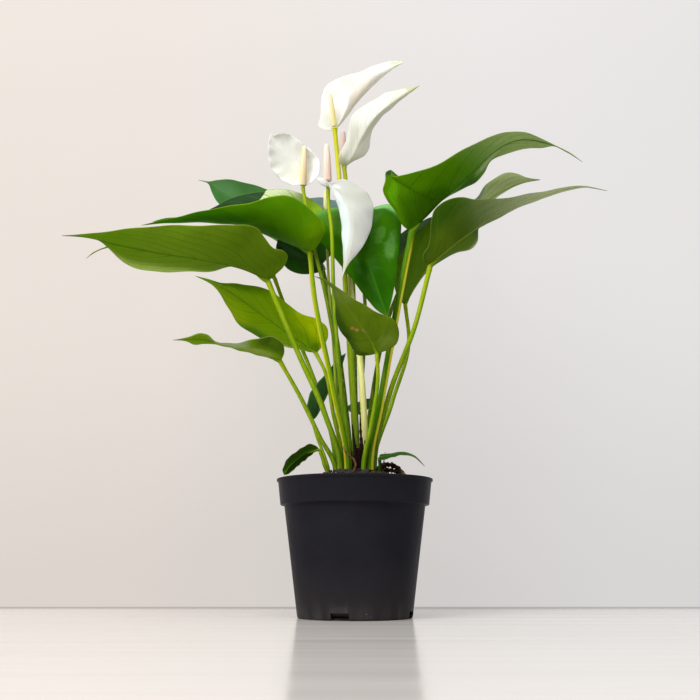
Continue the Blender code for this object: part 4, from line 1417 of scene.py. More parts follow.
@dataclass(frozen=True)
class Studio:
    """The pale floor and wall, the soft lights, and the camera at the photograph's angle, in metres."""

    wall_distance: float = 0.172
    reach: float = 3.0
    nearest: float = -4.0
    air: Colour = (1.0, 0.985, 0.97)
    air_strength: float = 0.42
    camera_place: Place = (-0.004, -0.840, 0.044)
    pitch: float = 12.0
    lens_pixels: float = 1000.0
    frame_pixels: float = 700.0

    def build(self) -> None:
        """Set up the stage, the lights and the camera."""
        far, side, near = self.wall_distance, self.reach, self.nearest
        self.sheet("studio_floor", ((-side, near, 0), (side, near, 0), (side, far, 0), (-side, far, 0)),
                   StudioFinish((0.70, 0.665, 0.635), (0.66, 0.63, 0.60), 0.13))
        self.sheet("studio_wall", ((-side, far, 0), (side, far, 0), (side, far, side), (-side, far, side)),
                   StudioFinish((0.15, 0.143, 0.137), (0.14, 0.134, 0.129), 0.9, one_sided=True, shine=0.63))
        world = bpy.data.worlds.new("studio_air")
        bpy.context.scene.world = world
        world.use_nodes = True
        air = world.node_tree.nodes["Background"]
        air.inputs["Color"].default_value = (*self.air, 1.0)
        air.inputs["Strength"].default_value = self.air_strength
        self.lamp("back_light", (-0.55, 0.70, 0.95), (-0.05, 0.0, 0.30), 0.7, 12.0)
        self.lamp("front_fill", (-0.8, -1.1, 1.0), (0.0, 0.0, 0.36), 0.7, 12.0)
        self.lamp("top_light", (-0.15, -0.55, 1.35), (0.0, 0.0, 0.35), 0.9, 14.0)
        self.camera()
        bpy.context.scene.view_settings.view_transform = "Standard"

    @staticmethod
    def sheet(name: str, corners: tuple[Place, ...], finish: StudioFinish) -> None:
        """Lay a flat stage surface.

        Args:
            name: the surface's name.
            corners: its four corners, in metres.
            finish: its finish.
        """
        mesh = bpy.data.meshes.new(name)
        mesh.from_pydata(corners, [], [(0, 1, 2, 3)])
        mesh.materials.append(finish.mix(name + "_finish"))
        put_in(name, mesh)

    @staticmethod
    def lamp(name: str, place: Place, target: Place, size: float, power: float) -> None:
        """A square soft light at a place, turned to a target.

        Args:
            name: the light's name.
            place: where it hangs, in metres.
            target: where it looks.
            size: its side length.
            power: its power in watts.
        """
        light = bpy.data.lights.new(name, "AREA")
        light.size = size
        light.energy = power
        item = put_in(name, light)
        item.location = place
        away = np.subtract(place, target)
        item.rotation_euler = (float(np.arctan2(np.hypot(away[0], away[1]), away[2])), 0.0,
                               float(np.arctan2(away[0], -away[1])))

    def camera(self) -> None:
        """The camera: its lens gives lens_pixels on a frame of frame_pixels, and it looks up by pitch."""
        data = bpy.data.cameras.new("studio_camera")
        data.sensor_width = 36.0
        data.lens = 36.0 * self.lens_pixels / self.frame_pixels
        data.clip_start = 0.01
        item = put_in("studio_camera", data)
        item.location = self.camera_place
        item.rotation_euler = (radians(90.0 + self.pitch), 0.0, 0.0)
        bpy.context.scene.camera = item


# The finishes of this plant, and its leaves and blooms.

OLIVE = BladeFinish(
    upper=(0.17, 0.29, 0.01), under=(0.20, 0.34, 0.014), shade=(0.15, 0.255, 0.01), vein=(0.07, 0.15, 0.005),
    glow=(0.32, 0.51, 0.018), rib=(0.06, 0.13, 0.003), edge=(0.34, 0.42, 0.03), roughness=0.42, through=0.38,
    vein_strength=1.0, patches=(
        Patch(0.16, -0.4, 0.34, 1.6, (0.12, 0.205, 0.006), 0.85, 0.15),
        Patch(0.52, 1.0, 0.36, 0.62, (0.60, 0.76, 0.18), 0.9, 0.12),
        Patch(0.86, -0.3, 0.16, 1.2, (0.16, 0.34, 0.002), 0.7, 0.2)))
SPRING = BladeFinish(
    upper=(0.16, 0.33, 0.01), under=(0.095, 0.255, 0.001), shade=(0.06, 0.20, 0.001),
    vein=(0.13, 0.31, 0.002), glow=(0.28, 0.52, 0.002), rib=(0.12, 0.28, 0.004), edge=(0.28, 0.40, 0.02),
    roughness=0.38)
UPPER_LEFT = replace(
    SPRING, far=(0.045, 0.21, 0.001), far_span=(0.4, 0.75), patches=(
        Patch(0.08, -0.8, 0.14, 0.8, (0.20, 0.38, 0.002), 0.8, 0.2),
        # Painted shade: a dark band along the lower fold of the blade.
        Patch(0.64, -0.5, 0.22, 0.34, (0.022, 0.13, 0.001), 0.9, 0.12),
        Patch(0.38, -0.08, 0.2, 0.34, (0.035, 0.13, 0.001), 0.85, 0.12),
        # Painted light: the far half's pale, sunlit upper side.
        Patch(0.42, 0.8, 0.12, 0.5, (0.85, 0.92, 0.55), 0.95, 0.1),
        Patch(0.25, 0.9, 0.12, 0.6, (0.34, 0.55, 0.02), 0.8, 0.2)))
FRESH = BladeFinish(
    upper=(0.045, 0.14, 0.008), under=(0.06, 0.16, 0.01), shade=(0.03, 0.10, 0.004),
    vein=(0.08, 0.20, 0.012), glow=(0.22, 0.45, 0.005), rib=(0.12, 0.26, 0.01), edge=(0.25, 0.38, 0.03),
    roughness=0.36, through=0.26)
SHADED = replace(
    FRESH, upper=(0.03, 0.10, 0.012), under=(0.045, 0.12, 0.02), shade=(0.02, 0.07, 0.008),
    vein=(0.06, 0.15, 0.02), rib=(0.08, 0.18, 0.02), edge=(0.14, 0.24, 0.04))
YELLOWING = BladeFinish(
    upper=(0.20, 0.34, 0.003), under=(0.27, 0.44, 0.003), shade=(0.15, 0.32, 0.002),
    vein=(0.12, 0.26, 0.003), glow=(0.62, 0.84, 0.012), rib=(0.07, 0.2, 0.003), edge=(0.26, 0.36, 0.02),
    roughness=0.42, through=0.48, patches=(
        # Painted shadow: a dark band under the curled top margin.
        Patch(0.76, -1.0, 0.26, 0.42, (0.05, 0.15, 0.002), 0.95, 0.12),
        Patch(0.48, 1.0, 0.2, 0.5, (0.03, 0.17, 0.001), 0.9, 0.15),
        Patch(0.19, -0.9, 0.2, 0.6, (0.60, 0.68, 0.003), 0.95, 0.2),
        Patch(0.07, -0.3, 0.07, 0.45, (0.10, 0.2, 0.003), 0.8, 0.2),
        Patch(0.68, 0.6, 0.16, 0.5, (0.40, 0.54, 0.003), 0.8, 0.2),
        Patch(0.30, 0.95, 0.12, 0.4, (0.48, 0.6, 0.12), 0.8, 0.15)))
# TEAL: the leaf's own green with a painted bluish reflection of the sky over it, and a painted highlight near
# the tip.
TEAL = BladeFinish(
    upper=(0.08, 0.28, 0.055), under=(0.11, 0.36, 0.08), shade=(0.06, 0.23, 0.045), vein=(0.14, 0.40, 0.12),
    glow=(0.2, 0.5, 0.08), rib=(0.16, 0.42, 0.14), edge=(0.30, 0.50, 0.16), roughness=0.33, through=0.24,
    gloss_tint=(0.8, 1.0, 0.9), shine=0.12, patches=(
        Patch(0.85, -0.3, 0.14, 0.8, (0.18, 0.42, 0.17), 0.7, 0.3),))
DEEP = BladeFinish(
    upper=(0.034, 0.12, 0.01), under=(0.045, 0.13, 0.03), shade=(0.02, 0.085, 0.006),
    vein=(0.05, 0.15, 0.03), glow=(0.05, 0.2, 0.02), rib=(0.05, 0.15, 0.03), edge=(0.12, 0.26, 0.07),
    roughness=0.32, through=0.12, gloss_tint=(0.6, 1.0, 0.8), shine=0.05, patches=(
        Patch(0.62, 0.7, 0.32, 0.8, (0.012, 0.036, 0.008), 0.95, 0.15),
        Patch(0.33, -0.9, 0.06, 0.4, (0.015, 0.05, 0.005), 0.9, 0.15)))
# SLATE: the leaf's own green with a painted bluish-grey reflection of the sky over it.
SLATE = BladeFinish(
    upper=(0.11, 0.20, 0.17), under=(0.10, 0.20, 0.15), shade=(0.07, 0.13, 0.11), vein=(0.15, 0.26, 0.22),
    glow=(0.14, 0.26, 0.16), rib=(0.14, 0.25, 0.18), edge=(0.22, 0.34, 0.22), roughness=0.32, through=0.14,
    gloss_tint=(0.9, 1.0, 1.0), shine=0.15)
LOW = replace(
    DEEP, upper=(0.06, 0.17, 0.045), under=(0.085, 0.19, 0.06), shade=(0.045, 0.13, 0.03), patches=())
# NIGHT: a leaf darkened all over with painted shade, deep behind the others.
NIGHT = replace(
    SLATE, upper=(0.03, 0.06, 0.02), under=(0.03, 0.065, 0.02), shade=(0.015, 0.035, 0.01),
    vein=(0.05, 0.09, 0.03), glow=(0.05, 0.1, 0.03), rib=(0.06, 0.1, 0.04), edge=(0.08, 0.13, 0.05),
    shine=0.0, roughness=0.7, patches=(
        Patch(0.1, -0.3, 0.08, 0.4, (0.14, 0.19, 0.17), 0.8, 0.4),))
GLOSS_AND_PAINTED_SHEEN = BladeFinish(
    upper=(0.04, 0.16, 0.001), under=(0.033, 0.15, 0.005), shade=(0.022, 0.12, 0.001),
    vein=(0.06, 0.22, 0.003), glow=(0.075, 0.28, 0.002), rib=(0.035, 0.17, 0.002), edge=(0.12, 0.30, 0.03),
    roughness=0.25, through=0.16, shine=0.08, gloss_tint=(0.4, 1.0, 0.3), vein_strength=0.22, streaks=0.3,
    patches=(
        # Painted highlights: two teal strips of sheen along the top margins and two whitish gloss spots.
        Patch(0.20, 0.98, 0.15, 0.16, (0.16, 0.50, 0.14), 0.85, 0.2),
        Patch(0.24, -0.98, 0.14, 0.16, (0.28, 0.66, 0.2), 0.9, 0.2),
        Patch(0.52, -0.66, 0.11, 0.24, (0.12, 0.30, 0.06), 0.8, 0.5),
        Patch(0.37, -0.42, 0.06, 0.18, (0.10, 0.28, 0.04), 0.6, 0.5),
        Patch(0.25, 0.62, 0.14, 0.5, (0.09, 0.25, 0.006), 0.7, 0.3),
        Patch(0.72, 0.12, 0.24, 0.7, (0.016, 0.085, 0.0005), 0.9, 0.2)))
MOSS = BladeFinish(
    upper=(0.06, 0.13, 0.010), under=(0.075, 0.145, 0.008), shade=(0.05, 0.11, 0.005),
    vein=(0.10, 0.17, 0.02), glow=(0.18, 0.32, 0.01), rib=(0.26, 0.32, 0.04), edge=(0.24, 0.32, 0.05),
    roughness=0.42, through=0.26)
WAVY = replace(
    MOSS, upper=(0.20, 0.34, 0.01), under=(0.23, 0.40, 0.01), shade=(0.17, 0.31, 0.006),
    vein=(0.12, 0.22, 0.01), rib=(0.26, 0.36, 0.06), edge=(0.30, 0.36, 0.1), patches=(
        Patch(0.22, -0.85, 0.2, 0.6, (0.06, 0.13, 0.005), 0.95, 0.15),
        # Painted highlight: a pale sheen on the left half.
        Patch(0.56, -0.6, 0.16, 1.2, (0.55, 0.64, 0.36), 0.85, 0.2),
        Patch(0.32, 0.0, 0.26, 0.35, (0.40, 0.48, 0.10), 0.85, 0.15)))
LONG_TIP = replace(
    MOSS, far=(0.66, 0.72, 0.42), far_span=(0.3, 0.82), patches=(
        Patch(0.27, 0.95, 0.16, 0.45, (0.03, 0.09, 0.003), 0.85, 0.15),
        Patch(0.14, 0.25, 0.16, 0.7, (0.12, 0.205, 0.006), 0.8, 0.2)))
HIDDEN_RIGHT = replace(
    MOSS, under=(0.12, 0.25, 0.006), shade=(0.09, 0.2, 0.005), far=(0.52, 0.62, 0.29), far_span=(0.56, 0.72),
    patches=(
        Patch(0.5, -0.35, 0.14, 0.5, (0.13, 0.21, 0.02), 0.7, 0.2),
        Patch(0.62, -0.7, 0.07, 0.6, (0.05, 0.10, 0.01), 0.9, 0.15),
        Patch(0.45, -1.0, 0.2, 0.3, (0.6, 0.64, 0.36), 0.85, 0.15),
        Patch(0.12, -0.6, 0.14, 0.5, (0.32, 0.38, 0.12), 0.7, 0.2),
        Patch(0.67, 1.0, 0.05, 0.25, (0.32, 0.42, 0.38), 0.85, 0.2)))
TOP_RIGHT = replace(
    SPRING, rib=(0.04, 0.10, 0.004), under=(0.12, 0.31, 0.001), vein=(0.03, 0.11, 0.001), vein_strength=0.55,
    far=(0.46, 0.56, 0.24), far_span=(0.46, 0.74), streaks=0.6, patches=(
        Patch(0.17, 0.8, 0.08, 0.13, (0.17, 0.48, 0.006), 0.9, 0.15),
        Patch(0.13, 0.2, 0.16, 0.6, (0.055, 0.16, 0.002), 0.85, 0.2),
        Patch(0.28, 0.2, 0.1, 0.35, (0.06, 0.18, 0.002), 0.7, 0.2),
        Patch(0.44, -0.5, 0.07, 0.5, (0.035, 0.10, 0.008), 0.95, 0.2),
        Patch(0.57, -0.22, 0.09, 0.2, (0.60, 0.66, 0.38), 0.85, 0.2),
        Patch(0.25, 1.0, 0.03, 0.14, (0.03, 0.06, 0.035), 0.95, 0.1)))
SCARRED = BladeFinish(
    upper=(0.11, 0.19, 0.006), under=(0.15, 0.245, 0.008), shade=(0.105, 0.18, 0.006),
    vein=(0.085, 0.15, 0.008), glow=(0.2, 0.36, 0.005), rib=(0.17, 0.25, 0.015), edge=(0.16, 0.24, 0.03),
    roughness=0.42, through=0.24, patches=(
        Patch(0.8, -0.2, 0.18, 1.2, (0.22, 0.31, 0.05), 0.85, 0.2),
        Patch(0.46, 0.95, 0.26, 0.7, (0.025, 0.075, 0.004), 0.9, 0.15),
        Patch(0.2, 0.9, 0.14, 0.4, (0.05, 0.11, 0.006), 0.8, 0.2),
        Patch(0.15, -0.6, 0.16, 0.4, (0.21, 0.29, 0.04), 0.7, 0.3),
        Patch(0.42, 0.29, 0.022, 0.09, (0.50, 0.20, 0.07), 1.0, 0.3),
        Patch(0.385, 0.19, 0.022, 0.07, (0.56, 0.26, 0.11), 1.0, 0.3),
        Patch(0.345, 0.0, 0.034, 0.05, (0.62, 0.36, 0.2), 1.0, 0.25)))
WHITE = BladeFinish(
    upper=(0.95, 0.95, 0.94), under=(0.92, 0.91, 0.87), shade=(0.92, 0.93, 0.90), vein=(0.72, 0.80, 0.62),
    glow=(0.97, 0.97, 0.93), rib=(0.90, 0.92, 0.82), edge=(0.95, 0.95, 0.93), tip=(0.60, 0.68, 0.34),
    vein_strength=0.3, vein_count=7.0, roughness=0.5, through=0.3, streaks=0.08, gloss_tint=(1.0, 1.0, 1.0),
    shine=0.2)
ROLLED = replace(
    WHITE, under=(0.95, 0.92, 0.86), patches=(
        # Painted shade: a thin shadow in the fold and beige shade on the rolled-over half.
        Patch(0.5, 0.3, 0.36, 0.07, (0.74, 0.70, 0.64), 0.7, 0.1),
        Patch(0.42, 0.6, 0.3, 0.5, (0.88, 0.78, 0.66), 0.75, 0.25),
        Patch(0.96, 0.0, 0.09, 2.0, (0.66, 0.74, 0.42), 0.8, 0.4)))
SEEN_FROM_BEHIND = replace(
    WHITE, under=(0.86, 0.86, 0.81), shade=(0.79, 0.79, 0.73), vein=(0.45, 0.52, 0.28), vein_strength=0.5,
    through=0.5, glow=(0.9, 0.88, 0.82), rib=(0.6, 0.63, 0.45), edge=(0.9, 0.9, 0.86), streaks=0.35,
    patches=(
        # Painted shade: a grey patch on the side turned from the light.
        Patch(0.3, 0.45, 0.24, 0.3, (0.64, 0.64, 0.55), 0.7, 0.2),
        # Painted highlight: a white band on the lit part.
        Patch(0.60, 0.5, 0.24, 0.5, (0.97, 0.97, 0.96), 0.95, 0.15),
        Patch(0.3, 1.0, 0.3, 0.22, (0.88, 0.88, 0.85), 0.8, 0.15),
        Patch(0.35, -0.8, 0.3, 0.4, (0.9, 0.9, 0.87), 0.8, 0.15),
        Patch(0.96, 0.0, 0.1, 2.0, (0.62, 0.68, 0.22), 0.85, 0.3),
        Patch(0.05, 0.1, 0.09, 1.4, (0.48, 0.58, 0.26), 0.8, 0.3)))
GREEN_VEINED = replace(
    WHITE, vein=(0.5, 0.64, 0.3), vein_strength=0.4, through=0.03, patches=(
        Patch(0.28, -0.2, 0.22, 1.0, (0.80, 0.84, 0.68), 0.6, 0.4),))
# HANGING: the white spathe painted grey with shade where it hangs upright; white stays near the base, where
# it faces up.
HANGING = replace(
    WHITE, upper=(0.60, 0.61, 0.575), shade=(0.54, 0.55, 0.51), vein=(0.46, 0.49, 0.38), through=0.12,
    rib=(0.56, 0.58, 0.49), patches=(
        # Painted light: a bright bluish-white strip along the folded margin.
        Patch(0.52, 0.6, 0.36, 0.5, (0.73, 0.83, 0.82), 0.95, 0.12),
        Patch(0.05, 0.6, 0.16, 1.2, (0.97, 0.97, 0.96), 0.9, 0.2),
        # Painted shade: greenish grey near the bend.
        Patch(0.3, -0.5, 0.12, 0.9, (0.47, 0.49, 0.39), 0.6, 0.3),
        Patch(0.95, 0.0, 0.08, 2.0, (0.52, 0.58, 0.2), 0.85, 0.3)))
PLAIN_STALK = StalkFinish((0.085, 0.21, 0.002), (0.2, 0.34, 0.003), (0.31, 0.43, 0.004))
DARK_STALK = StalkFinish((0.04, 0.13, 0.002), (0.055, 0.16, 0.002), (0.09, 0.20, 0.003))
PALE_STALK = StalkFinish((0.70, 0.67, 0.27), (0.95, 0.92, 0.36), (0.62, 0.60, 0.02), seated=0.0, flank=0.35)
AMBER_STALK = StalkFinish(
    (0.08, 0.2, 0.003), (0.17, 0.31, 0.004), (0.22, 0.34, 0.004), streak=(0.60, 0.50, 0.02),
    streak_turn=0.58, streak_width=0.11, flank=0.6, grain=0.2)
# HIDDEN_STALK: darkened with painted shade, like the SHADED leaf that it carries.
HIDDEN_STALK = StalkFinish(
    (0.012, 0.04, 0.003), (0.02, 0.065, 0.005), (0.03, 0.09, 0.01), streak=(0.05, 0.12, 0.01))
LEMON_STALK = StalkFinish(
    (0.045, 0.145, 0.002), (0.04, 0.14, 0.002), (0.07, 0.19, 0.003), streak=(0.66, 0.60, 0.03),
    streak_turn=0.92, streak_width=0.14, flank=0.0, grain=0.1)


def spathe(**sizes: object) -> Blade:
    """A blade with the thickness and the veins of a spathe, and the sizes that are given."""
    return Blade(thickness=0.9, vein_count=7.0, **sizes)


LEAVES = (
    Leaf("a", Blade(
        rib=((-71.5, -35, 275), (-95.5, -41, 283.5), (-128, -48, 288.5), (-167.5, -56, 293.5),
          (-199, -63, 298), (-218.5, -68, 301.5), (-237, -70, 302)),
        left=((-65.5, -40, 278.5), (-58.5, -44, 284.5), (-55.5, -47, 292), (-58.5, -52, 295),
          (-67, -56, 296.5), (-73.5, -61, 303), (-79, -65, 309.5), (-86.5, -69, 311.5), (-99, -72, 310.5),
          (-120.5, -75, 309), (-152.5, -76, 308.5), (-180.5, -76, 306), (-205, -74, 303.5),
          (-221.5, -72, 302.5)),
        right=((-67.5, -14, 291.5), (-81, -2, 304.5), (-102.5, 3, 304), (-120.5, -4, 294.5),
          (-137.5, -12, 290), (-165, -25, 285), (-181.5, -36, 284), (-194, -47, 289), (-202.5, -56, 296),
          (-211.5, -63, 302.5), (-222.5, -68, 302.5)),
        faces=(0, 0.12, 1), arch_left=(-0.1, -0.1, -0.04), arch_right=(0.1, -0.12, 0), slant=0.6),
        Stalk((-12, -10), ((-25, -17, 165), (-47, -26, 214)), 2.3), OLIVE, PLAIN_STALK,
        Slot.LEAF_YELLOW_GREEN),
    Leaf("a2", Blade(
        rib=((-69.5, 10, 290.5), (-93, 13, 303.5), (-134, 20, 313), (-185.5, 28, 322), (-215.5, 32, 326.5),
          (-228.5, 34, 325), (-238, 35.5, 321.5), (-245, 36, 315.5)),
        left=((-70, 8, 292), (-76.5, 6, 306), (-115.5, 14, 318.5), (-166.5, 24, 326.5), (-204.5, 30, 330),
          (-220.5, 33, 327.5), (-231.5, 34.5, 324.5), (-240.5, 36, 320)),
        right=((-71, 16, 293), (-85, 22, 303), (-117, 28, 309), (-167.5, 31, 315.5), (-204.5, 33, 323.5),
          (-220.5, 33.5, 325.5), (-231.5, 34.5, 323.5), (-240.5, 36, 319)),
        faces=(0, 0.1, 1)),
        Stalk((-16, 12), ((-35, 28, 200), (-52, 33, 243), (-63, 26, 270)), 1.8), OLIVE, PLAIN_STALK,
        Slot.LEAF_YELLOW_GREEN),
    Leaf("l3", Blade(
        rib=((-38, -8, 309), (-47.5, -8, 312.5), (-67.5, -7, 321), (-86, -6, 328.5), (-100.5, -5, 333),
          (-118, -4, 335.5), (-144.5, -3, 336.5), (-171.5, -1, 336.5), (-188.5, 0, 335)),
        left=((-33, -14, 310), (-28, -21, 316.5), (-24, -26, 322.5), (-28.5, -30, 330), (-36, -32, 336.5),
          (-43.5, -34, 342.5), (-51, -35, 347.5), (-58.5, -36, 349.5), (-70.5, -36, 348), (-89, -33, 344),
          (-111, -27, 342.5), (-129, -21, 341.5), (-147.5, -14, 339.5), (-166, -7, 338)),
        right=((-30.5, 2, 319.5), (-23.5, 12, 336.5), (-26.5, 20, 355.5), (-39.5, 26, 368.5),
          (-53, 30, 377.5), (-65, 32, 381.5), (-75, 32, 380.5), (-81.5, 31.5, 379), (-80, 31, 375),
          (-77.5, 30, 370.5), (-83, 29, 365.5), (-90, 27, 361), (-106, 24, 355), (-130.5, 18, 349),
          (-155.5, 9, 343), (-174, 3, 338)),
        faces=(0, -0.2, 1), arch_left=(-0.22, -0.24, -0.1), arch_right=(0.12, 0.0, -0.08)),
        Stalk((-6, -16), ((-18, -22, 184), (-35, -18, 270)), 2.3), UPPER_LEFT, AMBER_STALK),
    Leaf("d", Blade(
        rib=((-29.5, 42, 312), (-53, 44, 328), (-86, 46, 348.5), (-130.5, 49, 360), (-189, 50, 356)),
        left=((-28.5, 37, 305), (-38.5, 31, 299.5), (-51, 27, 299), (-61.5, 25, 303.5), (-67, 24, 312.5),
          (-70.5, 24, 322), (-69.5, 25, 330.5), (-74, 28, 339.5), (-84.5, 31, 346), (-110, 38, 353.5),
          (-143.5, 45, 356)),
        right=((-19, 50, 328), (-18, 54, 349), (-30.5, 55, 367), (-51, 53, 378.5), (-72, 51, 383),
          (-88.5, 50, 385.5), (-103.5, 50, 383), (-118.5, 50, 377.5), (-131.5, 50, 370.5),
          (-144.5, 50, 363.5), (-161.5, 50, 360.5), (-176.5, 50, 359.5)),
        faces=(0, -1.4, 1), arch_left=(0.15, 0.12, 0.05), arch_right=(0.1, 0.12, 0.05)),
        Stalk((-8, 14), ((-13, 24, 183), (-21, 40, 276)), 1.8), DEEP, DARK_STALK, Slot.LEAF_DARK),
    Leaf("l1", Blade(
        rib=((-33, 80, 326), (-67.5, 92, 357), (-103.5, 105, 388.5), (-133.5, 116, 412.5),
          (-148.5, 121, 422.5), (-159.5, 124, 426.5)),
        left=((-26.5, 62, 336), (-40, 56, 357.5), (-61, 60, 381), (-80.5, 66, 393), (-101, 76, 403.5),
          (-120, 88, 412.5), (-137, 103, 418.5), (-146.5, 114, 421)),
        right=((-27.5, 102, 324.5), (-54.5, 124, 346.5), (-85.5, 134, 368), (-114, 136, 385.5),
          (-133, 133, 398.5), (-141, 129, 406), (-145.5, 125, 415), (-148, 122, 421)),
        faces=(0, 0.35, 1), arch_left=(0.1, 0.1, 0.1), arch_right=(0.1, 0.1, 0.1)),
        Stalk((-3, 17), ((-8, 39, 184), (-21, 63, 272)), 1.9), TEAL, DARK_STALK),
    Leaf("g", Blade(
        rib=((-32.5, 2, 221), (-47, 2, 231), (-62, 3, 242), (-80.5, 3, 255), (-100, 3, 269.5),
          (-117.5, 4, 280.5), (-128.5, 4, 285.5), (-140, 4, 290)),
        left=((-28, -3, 224.5), (-23, -8, 231.5), (-23.5, -11, 240), (-31, -13, 246), (-44, -15, 250.5),
          (-56.5, -16, 258.5), (-69.5, -16, 269.5), (-83, -14, 275), (-100.5, -9, 279), (-117, -3, 282),
          (-129, 1, 286.5)),
        right=((-39, 12, 223.5), (-49.5, 20, 227.5), (-66, 26, 232.5), (-82.5, 29, 239), (-95, 27, 245.5),
          (-105.5, 24, 254), (-112, 20, 265), (-118, 14, 274.5), (-124.5, 8, 282)),
        faces=(0, 0.5, 1), arch_left=(-0.1, -0.12, -0.05), arch_right=(-0.08, -0.1, 0)),
        Stalk((-9, -3), ((-18, -4, 166), (-26, -2, 205)), 1.7), YELLOWING, PLAIN_STALK,
        Slot.LEAF_YELLOW_GREEN),
    Leaf("h", Blade(
        rib=((-61, -28, 208), (-76.5, -31, 213.5), (-90.5, -36, 216.5), (-106, -42, 218), (-122, -46, 222),
          (-135.5, -48, 221.5), (-148, -50, 220)),
        left=((-58, -36, 213), (-59, -41, 219.5), (-67, -45, 224), (-77, -48, 222.5), (-89, -50, 219),
          (-102.5, -50, 217.5), (-111.5, -51, 218.5), (-119, -52, 224), (-125.5, -52, 225.5),
          (-135, -51, 222.5)),
        right=((-66, -22, 209.5), (-77.5, -20, 213), (-91.5, -24, 216), (-105, -32, 218),
          (-114.5, -41, 218.5), (-123.5, -45, 218), (-130, -46, 217), (-137, -48, 219.5)),
        faces=(0, 0.2, 1), arch_left=(-0.15, -0.12, -0.05), arch_right=(-0.1, -0.1, 0)),
        Stalk((-16, -6), ((-29, -9, 146), (-46, -18, 180)), 1.9), WAVY, PLAIN_STALK),
    Leaf("i", Blade(
        rib=((-36, 12, 163.5), (-31.5, 13, 174), (-25.5, 16, 185), (-18, 18, 201.5), (-12, 20, 215),
          (-7.5, 22, 224.5)),
        left=((-39, 7, 168), (-40.5, 2, 175), (-38, 3, 185.5), (-30.5, 8, 197), (-20.5, 14, 210.5),
          (-13.5, 18, 220)),
        right=((-33, 13, 166.5), (-28, 15, 176.5), (-23, 17, 187), (-16, 19, 200), (-11, 21, 212.5)),
        faces=(0.6, -0.5, 0.3), keel=0.7),
        Stalk((-22, 4), ((-25.5, 7, 132), (-32, 9, 148)), 1.2), LOW, PLAIN_STALK, Slot.LEAF_DARK),
    Leaf("j", Blade(
        rib=((0.5, 28, 171), (5, 35, 178.5), (11, 39, 182.5), (18.5, 44, 187.5)),
        left=((-5, 31, 174.5), (-6, 34, 179), (1.5, 38, 182.5), (10.5, 42, 187)),
        right=((2, 25, 170), (6.5, 27, 171), (12, 34, 176.5), (15.5, 40, 183)),
        faces=(-0.6, -1, 1), keel=0.5),
        Stalk((4, 25), ((3, 26, 138), (1, 26.5, 155)), 1.3), LOW, DARK_STALK, Slot.LEAF_DARK),
    Leaf("k", Blade(
        rib=((-29.5, -18, 135.5), (-38.5, -20, 132.5), (-48, -22, 125), (-54.5, -23, 118.5),
          (-57.5, -23, 113.5)),
        left=((-32, -22, 137.5), (-36, -24, 139), (-42.5, -26, 136), (-49.5, -27, 131), (-55, -27, 126.5),
          (-57.5, -26, 121.5), (-59, -24, 117)),
        right=((-33, -13, 133.5), (-39, -12, 128.5), (-45, -14, 123.5), (-50.5, -18, 118),
          (-54.5, -21, 114.5)),
        faces=(0, 0.3, 1), keel=0.7),
        Stalk((-23, -15), ((-25, -16, 122), (-27, -17, 129)), 1.3), FRESH, PLAIN_STALK),
    Leaf("l", Blade(
        rib=((20, -19, 128.5), (29, -21, 129.5), (39.5, -23, 131), (47.5, -24.5, 129), (57, -26, 120.5)),
        left=((21, -15, 131), (29, -16, 131.5), (39.5, -20, 132), (48.5, -23, 129.5)),
        right=((20.5, -24, 125.5), (28.5, -27, 127), (39, -26, 129.5), (47.5, -26, 128)),
        faces=(0, -0.2, 1), keel=0.5),
        Stalk((20.5, -17), ((20.6, -17.8, 122),), 1.2), SHADED, HIDDEN_STALK),
    Leaf("e", Blade(
        rib=((2, -14, 329.5), (9.5, -20, 300.5), (18, -25, 272.5), (27, -30, 244.5)),
        left=((10, -6, 344.5), (21, 1, 353.5), (32.5, 3, 355), (39.5, 1, 348.5), (41, -3, 333.5),
          (39.5, -8, 315), (37.5, -14, 297), (34, -21, 274.5), (30.5, -27, 257)),
        right=((-4, -6, 344.5), (-14.5, 1, 351.5), (-29, 4, 350.5), (-37.5, 4, 344), (-36.5, 1, 329),
          (-26.5, -4, 314.5), (-14.5, -9, 298.5), (-2.5, -15, 281.5), (10.5, -21, 262), (19.5, -27, 250)),
        faces=(0, -1, 0.2), arch_left=(0.12, 0.05, 0), arch_right=(0.12, 0.05, 0)),
        Stalk((7, 4), ((6, 8, 180), (9, 9, 268), (4, 2, 318)), 1.7), GLOSS_AND_PAINTED_SHEEN, DARK_STALK),
    Leaf("c2", Blade(
        rib=((19, -30, 213.5), (14, -34, 223), (7.5, -39, 231), (0, -44, 241), (-8, -50, 252),
          (-16, -56, 262.5), (-24, -60, 267.5), (-33, -62, 270.5)),
        left=((27.5, -34, 215.5), (34.5, -39, 220), (36, -44, 228), (32, -49, 237.5), (22, -52, 241),
          (9, -55, 247.5), (-4, -57, 255), (-13.5, -59, 261.5), (-22.5, -60, 267.5)),
        right=((12, -22, 213.5), (2.5, -17, 214.5), (-2.5, -15, 222), (-9, -18, 231), (-15, -24, 239.5),
          (-16, -31, 250), (-17, -39, 258.5), (-19, -49, 264), (-26, -57, 268.5)),
        faces=(0.2, 0.5, 1), arch_left=(-0.12, -0.12, -0.05), arch_right=(-0.14, -0.12, -0.05)),
        Stalk((7, -17), ((14, -21, 158), (19, -27, 193)), 1.7), SCARRED, PLAIN_STALK),
    Leaf("r1", Blade(
        rib=((48.5, -4, 328.5), (64.5, -8, 343), (79, -11, 357), (97, -14, 373.5), (119, -18, 394),
          (131.5, -21, 402), (145, -25, 405), (159, -29, 402), (170.5, -32, 397), (184, -36, 387.5),
          (194.5, -40, 377.5)),
        left=((46, 10, 347), (56, 20, 368), (74.5, 23, 378), (91.5, 19, 378), (100, 15, 378.5),
          (107.5, 10, 379), (114.5, 4, 384.5), (120, -2, 393.5), (131, -8, 397.5), (142.5, -13, 399.5),
          (154, -18, 399.5), (164, -24, 397.5), (171.5, -30, 396.5), (184, -36, 387)),
